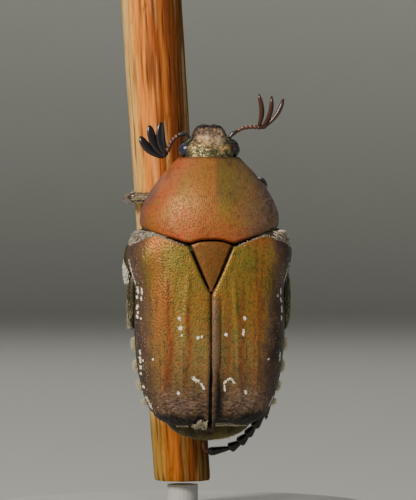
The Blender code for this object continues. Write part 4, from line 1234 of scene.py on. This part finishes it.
# The coat: thin tapering hairs and flat scales as solid mesh

# A hair's triangles over its seven points, which are the base ring, the middle ring and the tip, and the
# places of those points in its bake patch.
HAIR_FACES = np.array([
    [0, 1, 4], [0, 4, 3], [1, 2, 5], [1, 5, 4], [2, 0, 3], [2, 3, 5], [3, 4, 6], [4, 5, 6], [5, 3, 6], [0, 2, 1],
])
HAIR_PATCH = np.array([[0, 0], [1, 0], [0.5, 0.3], [0, 0.6], [1, 0.6], [0.5, 0.8], [0.5, 1]]) * 0.003
HAIR_POINTS = len(HAIR_PATCH)
# How far the flat scales lie over the wing case.
SCALE_LIFT = 0.012
TAILWARD = np.array([0, 0, -1.0])


class Coat:
    """Gathers hairs, each a bent three-sided spike, with a bake patch at its root's place."""

    def __init__(self):
        self.parts = []

    def add(self, roots, sways, normals, length, width, tint, places=None):
        """Adds hairs by their roots, the ways they point and the skin's normals."""
        count = len(roots)
        sizes = np.stack([np.broadcast_to(length, count), np.broadcast_to(width, count)], axis=-1)
        places = body_place(roots) if places is None else places
        self.parts.append((roots, sways, normals, sizes, np.broadcast_to(tint, (count, 3)), places))

    def make(self, name, material, bend=0.35):
        roots, sways, normals, sizes, tints, places = (np.concatenate(part) for part in zip(*self.parts))
        sways = unit_rows(sways)
        across = unit_rows(np.cross(sways, normals))
        up = np.cross(across, sways)
        length, width = sizes[:, :1], sizes[:, 1:]
        middle = roots + sways * length * 0.55 + up * length * bend * 0.18
        tip = roots + sways * length - up * length * bend * 0.25
        base = roots - sways * length * 0.12
        rings = []
        for centre, scale in ((base, 1.0), (middle, 0.75)):
            over = across * width * scale
            rings += [centre + over, centre - over, centre + up * width * scale * 0.7]
        verts = np.stack(rings + [tip], axis=1).reshape(-1, 3)
        faces = (HAIR_FACES[None] + HAIR_POINTS * np.arange(len(roots))[:, None, None]).reshape(-1, 3)
        piece = painted_mesh(name, verts, faces.tolist(), np.repeat(tints, HAIR_POINTS, axis=0), material)
        uv = (places[:, None] + HAIR_PATCH[None]).reshape(-1, 2)
        piece.data.uv_layers.new(name="OFBake").data.foreach_set("uv", uv[faces.ravel()].ravel())


def body_place(roots):
    """The root's place on a cylinder unwrap of the body, between 0.02 and 0.97."""
    turn = np.arctan2(roots[:, 0], 0.8 - roots[:, 1]) / math.tau + 0.5
    return np.stack([0.02 + 0.95 * turn, 0.02 + 0.95 * np.clip((roots[:, 2] + 11) / 22, 0, 1)], axis=-1)


def jitter(count, amount):
    return rng.normal(0, amount, (count, 3))


def on_elytron(side, x, z):
    """Points and normals of a wing case's skin at distances from the midline and heights."""
    def turned(x, z):
        half = along(ELYTRON_HALF, z)
        return theta_of(np.minimum(x, half * 0.9995), half)

    def at(x, z):
        return elytron_point(side, z, turned(x, z), z)

    points = at(x, z)
    normal = np.cross(at(x + 0.02, z) - points, at(x, z + 0.02) - points) * side
    normal = unit_rows(outward(points, normal, 1.5))
    girth = girth_of(turned(x, z), along(ELYTRON_HALF, z))
    return points + normal * elytron_relief(side, x, z, girth)[:, None], normal


# Pale marks of the wing cases: side, width, then the marks' path as (distance from the midline, height).
MARKS = (
    (-1, 0.12, ((1.98, -2.12), (1.98, -2.2))), (-1, 0.13, ((1.93, -2.68), (1.9, -2.82))),
    (-1, 0.05, ((1.82, -3.19), (1.81, -3.2))), (-1, 0.1, ((0.84, -3.32), (0.78, -3.38))),
    (-1, 0.06, ((0.59, -3.29), (0.58, -3.3))), (-1, 0.07, ((3.6, -4.7), (3.6, -4.73))),
    (-1, 0.1, ((2.01, -6.78), (2.0, -6.84))), (-1, 0.12, ((1.14, -5.83), (0.98, -5.97), (0.76, -6.08))),
    (-1, 0.08, ((0.62, -6.24), (0.5, -6.41), (0.42, -6.6))),
    (-1, 0.09, ((4.62, -0.25), (4.6, -0.62))), (-1, 0.06, ((4.66, -0.8), (4.62, -0.95))),
    (-1, 0.07, ((4.36, -0.3), (4.34, -0.66))), (-1, 0.06, ((4.38, -0.84), (4.36, -1.06))),
    (-1, 0.09, ((4.55, -1.36), (4.6, -1.62))), (-1, 0.06, ((4.54, -1.78), (4.52, -1.86))),
    (-1, 0.08, ((4.58, -2.0), (4.55, -2.16))), (-1, 0.05, ((4.34, -2.17), (4.34, -2.19))),
    (-1, 0.06, ((4.4, -4.2), (4.36, -4.42))), (-1, 0.09, ((4.4, -4.6), (4.34, -4.95))),
    (-1, 0.05, ((4.2, -4.8), (4.2, -4.84))), (-1, 0.07, ((4.36, -5.15), (4.3, -5.34))),
    (-1, 0.05, ((4.32, -5.6), (4.28, -5.7))), (-1, 0.07, ((4.15, -6.45), (4.12, -6.55))),
    (-1, 0.08, ((3.98, -7.1), (3.6, -7.85))), (-1, 0.03, ((5.06, 1.5), (4.9, 0.7), (4.72, -0.1))),
    (1, 0.1, ((2.09, -2.1), (2.1, -2.2))), (1, 0.09, ((2.02, -2.88), (1.98, -3.18))),
    (1, 0.09, ((0.93, -3.12), (0.93, -3.18))), (1, 0.09, ((2.16, -6.72), (2.17, -6.8))),
    (1, 0.08, ((0.82, -6.24), (1.0, -6.0), (1.17, -5.87), (1.34, -5.98), (1.45, -6.2))),
    (1, 0.05, ((0.85, -6.35), (0.87, -6.7))), (1, 0.025, ((4.95, 1.3), (4.7, 0.1))),
    (1, 0.06, ((4.5, -0.3), (4.48, -0.7))), (1, 0.05, ((4.46, -0.9), (4.48, -1.16))),
    (1, 0.06, ((4.5, -1.36), (4.48, -1.8))), (1, 0.05, ((4.44, -2.0), (4.46, -2.3))),
    (1, 0.06, ((4.25, -0.72), (4.25, -0.8))), (1, 0.07, ((4.36, -4.3), (4.34, -4.85))),
    (1, 0.05, ((3.6, -4.7), (3.6, -4.73))), (1, 0.07, ((3.98, -7.1), (3.66, -7.7))),
)


def build_marks(material):
    """Flat white scales that lie close together in each mark."""
    coat = Coat()
    for side, wide, path in MARKS:
        path = np.array(path)
        run = distances(path)
        wide = wide * 0.8
        count = int(60 + 1500 * wide * (run[-1] + wide))
        at = rng.random(count) * run[-1]
        x = np.interp(at, run, path[:, 0])
        z = np.interp(at, run, path[:, 1])
        radius, turn = wide * rng.random(count) ** 0.65, rng.random(count) * math.tau
        ragged = 0.5 + 1.2 * noise(turn * 1.3 + side * 5, at * 7 + path[0, 1] * 3)
        x, z = x + radius * ragged * np.cos(turn), z + radius * ragged * np.sin(turn)
        points, normal = on_elytron(side, x, z)
        lie = TAILWARD + jitter(count, 0.35)
        lie -= normal * np.sum(lie * normal, axis=1, keepdims=True)
        tint = blend(WHITE, CREAM, rng.random(count))
        length = rng.uniform(0.05, 0.08, count)
        coat.add(points + normal * SCALE_LIFT, lie, normal, length, 0.018, tint, body_place(points))
    for side in (-1, 1):
        z = rng.uniform(-8.2, 1.7, 110)
        x = along(ELYTRON_HALF, z) - 0.06 - 0.55 * rng.random(110) ** 1.5
        points, normal = on_elytron(side, x, z)
        lie = TAILWARD + jitter(110, 0.35)
        length = rng.uniform(0.04, 0.07, 110)
        coat.add(points + normal * SCALE_LIFT, lie, normal, length, 0.016, CREAM, body_place(points))
    coat.make("wing_marks", material, bend=0.1)


def strew_limb(coat, limb, count, length, width, tint, outer=None, lean=0.6, place=None):
    """Hairs on the skin of a limb, which is its path, half widths, flatness and side, leaning to its end.

    Outer is the angle that they keep to, and place is where their strip of the bake starts.
    """
    path, halves, flat, side = limb
    dense = smooth_path(path, 60)
    share = rng.random(count) * 0.92 + 0.04
    centre = np.stack([np.interp(share, np.linspace(0, 1, 60), row) for row in dense.T], axis=-1)
    run = unit(dense[-1] - dense[0])
    side = unit(np.asarray(side, float) - run * (run @ np.asarray(side, float)))
    up = np.cross(run, side)
    turn = rng.random(count) * math.tau if outer is None else rng.normal(outer, 0.35, count)
    radial = side * np.cos(turn)[:, None] + up * flat * np.sin(turn)[:, None]
    roots = centre + radial * evenly(halves, share)[:, None] * 0.97
    normal = unit_rows(radial)
    sway = normal * (1 - lean) + run * lean + jitter(count, 0.14)
    spots = None
    if place is not None:
        spots = np.stack([place + 0.14 * (turn % math.tau) / math.tau, 0.02 + 0.95 * share], axis=-1)
    coat.add(roots, sway, normal, rng.uniform(0.7, 1.2, count) * length, width, tint, spots)


def build_leg_hair(material):
    """Fringes of pale hair on thighs and shins, and bristles on the toes."""
    coat = Coat()
    for k, (name, plan) in enumerate(LEGS.items()):
        hip, knee, ankle, thigh, shin, bend, outer, foot = leg_bones(plan)
        place = 0.02 + 0.16 * k
        cap = ([knee - thigh * 0.8, knee + thigh * 0.15], (0.46, 0.4), 0.8, outer)
        femur = ([hip, knee], FEMUR, FEMUR_FLAT, bend)
        tibia = ([knee, ankle], TIBIA, TIBIA_FLAT, outer)
        if name == "leg_front_left":
            strew_limb(coat, cap, 60, 0.22, 0.009, STRAW_HAIR, lean=0.35, place=place)
        strew_limb(coat, femur, 420, 0.42, 0.012, STRAW_HAIR, math.pi, place=place)
        strew_limb(coat, femur, 160, 0.26, 0.009, DUN_HAIR, place=place)
        strew_limb(coat, tibia, 220, 0.34, 0.01, TAWNY_HAIR, math.pi, place=place)
        strew_limb(coat, tibia, 120, 0.2, 0.009, TAWNY_HAIR, place=place)
        for first, last in zip(TOE_ENDS, TOE_ENDS[1:]):
            toe = ([foot[first], foot[last]], TOE, 0.9, bend)
            strew_limb(coat, toe, 26, 0.16, 0.008, BROWN_HAIR, lean=0.75, place=place)
    coat.make("leg_hair", material)


def strew_hull(coat, count, z_low, z_high, x_low, x_high, length, width, lie):
    """Hairs on the underside between two heights and two distances from the midline, on both sides."""
    z = rng.uniform(z_low, z_high, count) + rng.normal(0, 0.12, count)
    x = np.abs(rng.uniform(x_low, x_high, count) + rng.normal(0, 0.3, count))
    side = np.where(rng.random(count) < 0.5, -1, 1)
    x = np.minimum(x, 0.9 * np.where(z > 3.0, along(PRONOTUM_HALF, z), along(ELYTRON_HALF, z)))
    roots = np.array([(s * a, belly(a, b) - 0.02, b) for s, a, b in zip(side, x, z)])
    normal = unit_rows(np.stack([side * x / 4.5, np.ones(count), np.zeros(count)], axis=-1))
    sway = normal * (1 - lie) + TAILWARD * lie + jitter(count, 0.25)
    coat.add(roots, sway, normal, rng.uniform(0.6, 1.2, count) * length, width, STRAW_HAIR)


# The white fringe along each flank, and the tufts under the wing-case edge: middle and half height.
FLANK_FRINGE = ((5.0, 1.5, 2.0), (5.12, 1.4, 1.2), (5.05, 1.4, 0.0))
FLANK_TUFTS = ((-3.75, 0.42), (-5.1, 0.4), (-6.4, 0.34), (-7.4, 0.2))


def build_body_hair(material):
    """Hairs of the shoulders' wedges, wing-case edge, flanks, breast, belly and tail."""
    coat = Coat()
    for side in (-1, 1):
        strew_wedge(coat, side)
        outside = math.pi / 4 if side > 0 else 3 * math.pi / 4
        flank = (flank_path(FLANK_FRINGE, side), (0.2, 0.28, 0.22), 1.6, (1, 0, 0))
        strew_limb(coat, flank, 900, 0.28, 0.018, WHITE, outside, lean=0.85)
        plate = (mirrored(COXAL_PLATE, side), (0.3, 0.38, 0.4, 0.36), 1.75, (1, 0, 0))
        strew_limb(coat, plate, 150, 0.22, 0.009, STRAW_HAIR, outside, lean=0.8)
        edge_x = rng.uniform(1.7, 3.9, 110)
        points, normal = on_elytron(side, edge_x, along(FRONT_EDGE, edge_x) - 0.05)
        sway = np.array([0, 0, 1.0]) + normal * 0.4 + jitter(110, 0.4)
        coat.add(points, sway, normal, rng.uniform(0.07, 0.17, 110), 0.008, GREY_HAIR)
        for middle, tall in FLANK_TUFTS:
            count = int(900 * tall)
            side_z = middle + tall * (rng.random(count) + rng.random(count) - 1)
            half = along(ELYTRON_HALF, side_z) - 0.16
            y = along(ELYTRON_RIM, side_z) + 0.45 + 0.3 * rng.random(count)
            roots = np.stack([side * half, y, side_z], axis=-1)
            normal = np.broadcast_to(np.array([side * 0.2, -1.0, 0]), (count, 3))
            sway = np.array([side * 0.9, -0.15, -0.4]) + jitter(count, 0.2)
            coat.add(roots, sway, normal, rng.uniform(0.3, 0.58, count), 0.014, STRAW_HAIR)
    strew_hull(coat, 2600, -1.8, 2.3, 0.5, 4.2, 0.55, 0.011, 0.45)
    strew_hull(coat, 1300, -8.0, -2.2, 0.3, 4.0, 0.3, 0.01, 0.75)
    strew_hull(coat, 1900, 3.9, 7.3, 0.1, 2.2, 0.45, 0.011, 0.4)
    strew_tail(coat)
    coat.make("body_hair", material)


def strew_wedge(coat, side):
    """Dense grey hairs brushed outwards over the plate in front of the shoulder."""
    count = 620 if side < 0 else 420
    share = 1 - (1 - rng.random(count)) ** 1.6 * (1 if side < 0 else 0.55)
    knots = np.linspace(0, 1, len(SHOULDER_PLATE))
    centre = np.stack([along(tuple(zip(knots, row)), share) for row in zip(*SHOULDER_PLATE)], axis=-1)
    wide = np.interp(share, knots, PLATE_HALVES)
    turn = rng.uniform(0, math.pi, count)
    roots = centre + np.stack([0 * turn, -0.33 * wide * np.sin(turn), wide * np.cos(turn)], axis=-1)
    roots = roots * (side, 1, 1)
    normal = unit_rows(np.stack([0 * turn + 0.4 * side, -np.sin(turn) - 0.3, np.cos(turn)], axis=-1))
    sway = np.array([side * 0.8, -0.2, -0.6]) + jitter(count, 0.25)
    tint = blend(WEDGE_DARK, WEDGE_PALE, rng.random(count))
    coat.add(roots, sway, normal, rng.uniform(0.2, 0.38, count), 0.012, tint)


# Scale patches under the wing tips: middle and half width across, upper and lower height, scales.
TAIL_PATCHES = (
    (-0.62, 0.46, -8.3, -9.08, 1300), (1.15, 0.72, -8.82, -9.0, 420),
    (-1.7, 0.4, -8.98, -9.06, 60), (2.0, 0.4, -8.9, -8.98, 60),
)


def strew_tail(coat):
    """Short yellowish hairs over the last plate, with pale scale patches under the wing tips."""
    count = 800
    angle = np.arcsin(rng.random(count) * 0.98)
    around = rng.random(count) * math.tau
    roots = pygidium_point(angle, around)
    normal = unit_rows(roots - np.array([0, PYGIDIUM_DEPTH, PYGIDIUM_BASE]))
    sway = normal * 0.35 + np.array([0, 0.9, -0.45]) + jitter(count, 0.25)
    coat.add(roots, sway, normal, rng.uniform(0.1, 0.2, count), 0.008, TAIL_HAIR)
    x = 0.16 + 0.95 * rng.beta(1.2, 2.2, 380)
    z = -8.62 - 0.5 * rng.beta(1.6, 1.3, 380) - 0.2 * (x - 0.5) + 0.2 * (noise(x * 9, x * 0 + 4) - 0.5)
    points, normal = on_elytron(-1, x, z)
    sway = TAILWARD + jitter(380, 0.35)
    tint = blend(CREAM, PATCH_SHADE, rng.random(380) ** 1.6)
    coat.add(points + normal * 0.02, sway, normal, rng.uniform(0.08, 0.14, 380), 0.014, tint, body_place(points))
    for middle, half_x, high, low, amount in TAIL_PATCHES:
        x = middle + half_x * rng.uniform(-1, 1, amount)
        z = rng.uniform(low, high, amount) + 0.06 * (noise(x * 8, x * 0 + 2) - 0.5)
        y = 1.15 + 0.1 * rng.random(amount) + 0.5 * np.clip(-9.0 - z, 0, 1)
        roots = np.stack([x, y, z], axis=-1)
        normal = np.broadcast_to(np.array([0, -1.0, -0.3]), (amount, 3))
        sway = np.array([0, -0.15, -1.0]) + jitter(amount, 0.5)
        coat.add(roots, sway, normal, rng.uniform(0.08, 0.15, amount), 0.02, CREAM)


# The perch

# Colours round the stem, by the angle in degrees from the side that faces the beetle. That side runs from pale
# straw towards the beetle's left to dark brown towards its right: partly the stalk's streaks, partly painted light
# from the left.
STEM_STRIPES = (
    (-180, srgb(136, 90, 46)), (-150, srgb(162, 114, 60)), (-120, srgb(140, 116, 70)), (-95, srgb(132, 110, 66)),
    (-72, srgb(214, 170, 104)), (-48, srgb(222, 164, 84)), (-30, srgb(222, 130, 46)), (-14, srgb(228, 132, 50)),
    (2, srgb(140, 66, 24)), (12, srgb(196, 112, 46)), (24, srgb(120, 58, 22)), (42, srgb(156, 88, 34)),
    (58, srgb(130, 78, 30)), (76, srgb(116, 76, 28)), (110, srgb(118, 78, 36)), (140, srgb(156, 104, 48)),
    (180, srgb(136, 90, 46)),
)
STREAK_BROWN, STREAK_STRAW, CRACK_BROWN = srgb(92, 48, 24), srgb(228, 190, 132), srgb(48, 26, 14)
WOOD, PITH, RIND = srgb(206, 170, 112), srgb(232, 212, 170), srgb(120, 80, 42)
# How much of red, green and blue the stem's foot loses to the beetle's painted shadow.
STEM_SHADE = np.array([0.54, 0.56, 0.76])


def stem_colour(degrees, height):
    """Lengthwise streaks of straw, orange and brown that wander a little, with the beetle's painted shadow
    darkening the foot.
    """
    shift = 10 * (noise(degrees / 40 + 3, height * 0.16) - 0.5) + 5 * (noise(degrees / 12, height * 0.5) - 0.5)
    turn = (degrees + shift + 180) % 360 - 180
    at = np.array([stop for stop, _ in STEM_STRIPES], float)
    tones = np.array([tone for _, tone in STEM_STRIPES])
    colour = np.stack([np.interp(turn, at, tones[:, i]) for i in range(3)], axis=-1)
    streak = noise(degrees / 4.5 + 40, height * 0.22 + 7)
    crack = rise(0.83, 0.95, noise(degrees / 2.2 + 11, height * 0.3 + 2))
    colour = layered(
        colour,
        (STREAK_BROWN, 0.75 * rise(0.62, 0.9, streak)),
        (STREAK_STRAW, 0.5 * rise(0.36, 0.1, streak)),
        (CRACK_BROWN, 0.7 * crack),
    )
    # Painted shadow of the beetle darkens the foot of the stem.
    return colour * (1 - rise(-7.5, -9.5, height)[..., None] * STEM_SHADE), crack


def build_stem(material):
    height = np.linspace(STEM_BOTTOM, STEM_TOP, 300)[:, None]
    degrees = np.linspace(-180, 180, 260, endpoint=False)[None]
    colour, crack = stem_colour(degrees + 0 * height, height + 0 * degrees)
    ribs = 0.035 * np.cos(np.radians(degrees * 9) + 1.5 * noise(degrees / 50, height * 0.1))
    ribs = ribs + 0.03 * (noise(degrees / 7 + 5, height * 0.25) - 0.5)
    ribs = ribs + 0.02 * (noise(degrees / 3, height * 0.8) - 0.5)
    lift = ribs - 0.05 * crack - 0.06 + 0.05 * np.cos(np.radians(degrees * 2 + 40))
    ends = np.minimum(height - STEM_BOTTOM, STEM_TOP - height)
    lift = lift - 0.08 * np.exp(-ends / 0.12)
    points = np.stack(np.broadcast_arrays(*stem_point(height, degrees, lift)), axis=-1)
    skin = Skin()
    skin.grid(points, colour, wrap=True, flip=True)
    for row, low in ((0, True), (len(points) - 1, False)):
        add_cut_end(skin, points[row], low)
    skin.make("stem_bark", material, "perch_stem")


def add_cut_end(skin, ring, low):
    """A slightly rough cut with a woody rim and a pale pith."""
    share = np.linspace(1, 0.02, 26)[:, None, None]
    middle = ring.mean(axis=0)
    points = middle + (ring[None] - middle) * share
    turn = np.arange(ring.shape[0])[None] / 8
    dip = 0.08 * rise(0.75, 0.4, share[..., 0]) + 0.05 * (noise(turn + 0 * share[..., 0], share[..., 0] * 9) - 0.5)
    points[..., 2] += dip * (1 if low else -1) * (share[..., 0] < 0.98)
    tone = blend(WOOD, PITH, rise(0.7, 0.5, share[..., 0]) + 0 * turn)
    tone = blend(tone, RIND, 0.6 * rise(0.9, 1.0, share[..., 0]) + 0 * turn)
    skin.grid(points, tone, wrap=True, flip=not low)


# Studio

# The studio's floor, its curve and its wall, in metres, and the lumps of its cloudy tone in millimetres.
BOWL_FLOOR, BOWL_CURVE, BOWL_TALL = 0.8, 0.4, 1.3
WALL_CLOUD = 1000 / 12


def build_stage():
    """A pale floor that curves up into a wall all round."""
    profile = [(0.3, 0.0), (BOWL_FLOOR, 0.0)]
    for k in range(1, 17):
        turn = math.pi / 2 * k / 16
        profile.append((BOWL_FLOOR + BOWL_CURVE * math.sin(turn), BOWL_CURVE * (1 - math.cos(turn))))
    profile.append((BOWL_FLOOR + BOWL_CURVE, BOWL_TALL))
    sides = 96
    points = [
        (reach * math.cos(math.tau * k / sides), reach * math.sin(math.tau * k / sides), z)
        for reach, z in profile for k in range(sides)
    ]
    faces = [tuple(range(sides))]
    for row in range(len(profile) - 1):
        for k in range(sides):
            low, more = row * sides, (k + 1) % sides
            faces.append((low + k, low + sides + k, low + sides + more, low + more))
    mesh = bpy.data.meshes.new("studio_sweep")
    mesh.from_pydata(points, [], faces)
    mesh.polygons.foreach_set("use_smooth", np.ones(len(faces), bool))
    mesh.materials.append(backdrop_material())
    sweep = bpy.data.objects.new("studio_sweep", mesh)
    bpy.context.scene.collection.objects.link(sweep)


def add_light(name, place, target, size, power, colour):
    data = bpy.data.lights.new(name, "AREA")
    data.shape = "DISK"
    data.size = size
    data.energy = power
    data.color = colour
    lamp = bpy.data.objects.new(name, data)
    lamp.location = place
    lamp.rotation_euler = (Vector(target) - Vector(place)).to_track_quat("-Z", "Y").to_euler()
    bpy.context.scene.collection.objects.link(lamp)


def build_lights():
    middle = Vector(ORIGIN)
    add_light("key", middle + Vector((-0.22, -0.24, 0.19)), middle, 0.1, 1.9, (1.0, 0.95, 0.86))
    add_light("fill", middle + Vector((0.3, -0.2, 0.05)), middle, 0.3, 0.15, (0.72, 0.86, 1.0))
    add_light("back", middle + Vector((-0.1, 0.3, 0.34)), middle, 0.35, 0.7, (1.0, 0.98, 0.92))
    world = bpy.data.worlds.new("studio")
    world.use_nodes = True
    sky = world.node_tree.nodes["Background"]
    sky.inputs["Color"].default_value = (0.86, 0.88, 0.84, 1)
    sky.inputs["Strength"].default_value = 0.32
    bpy.context.scene.world = world


def build_camera():
    data = bpy.data.cameras.new("camera")
    data.sensor_fit = "VERTICAL"
    data.sensor_height = 36
    data.lens = 36 * CAMERA_DISTANCE / (PHOTO_TALL * MM_PER_PIXEL)
    data.clip_start = 0.01
    camera = bpy.data.objects.new("camera", data)
    right = Vector((math.cos(CAMERA_TURN), math.sin(CAMERA_TURN), 0))
    ahead = Vector((-math.sin(CAMERA_TURN), math.cos(CAMERA_TURN), 0))
    step = MM_PER_PIXEL * MM
    aim = Vector(ORIGIN) + right * (PHOTO_WIDE / 2 - ORIGIN_PIXEL[0]) * step
    aim += Vector((0, 0, (ORIGIN_PIXEL[1] - PHOTO_TALL / 2) * step))
    camera.location = aim - ahead * CAMERA_DISTANCE * MM
    camera.rotation_euler = (math.pi / 2, 0, CAMERA_TURN)
    bpy.context.scene.collection.objects.link(camera)
    bpy.context.scene.camera = camera


def dress_stand():
    grey = stand_material()
    for name in ("stand_base", "stand_rod"):
        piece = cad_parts[name]
        piece.data.materials.clear()
        piece.data.materials.append(grey)


def main():
    scratched = cuticle("shield_cuticle", (1, 1, 0.6), 0.1, 0.5, 0.3, pit_depth=0.024, speckle=0.65, wrinkle=0.012)
    wing = cuticle("wing_cuticle", (1, 1, 0.75), 0.12, 0.43, 0.48, pit_depth=0.026, speckle=0.65, wrinkle=0.01)
    smooth = cuticle("scutellum_cuticle", (1, 1, 1), 0.12, 0.4, 0.48, pit_depth=0.008, speckle=0.4, wrinkle=0.006)
    coarse = cuticle("head_cuticle", (1, 1, 1), 0.1, 0.32, 0.62, pit_depth=0.05, speckle=0.6, wrinkle=0.024)
    bronze = cuticle("bronze_cuticle", (1, 1, 1), 0.14, 0.42, 0.35)
    leg = glossy("leg_chitin", 0.3, 0.35)
    feeler = glossy("feeler_chitin", 0.28, 0.1)
    hair = matt("hair", 0.6, 0.3, 0.8)
    for side in (-1, 1):
        build_elytron(side, wing)
    build_scutellum(smooth)
    build_pronotum(scratched)
    build_head(coarse, feeler)
    build_eyes(eye_material())
    build_thorax(bronze)
    build_abdomen(bronze)
    build_pygidium(bronze)
    for name, plan in LEGS.items():
        build_leg(name, plan, leg)
    for name, plan in ANTENNAE.items():
        build_antenna(name, plan, feeler)
    build_marks(matt("white_scale", 0.7, 0.2, 0.25))
    build_leg_hair(hair)
    build_body_hair(hair)
    build_stem(stem_material())
    dress_stand()
    build_stage()
    build_lights()
    build_camera()


def numbers(box):
    return [[float(value) for value in corner] for corner in box]


main()
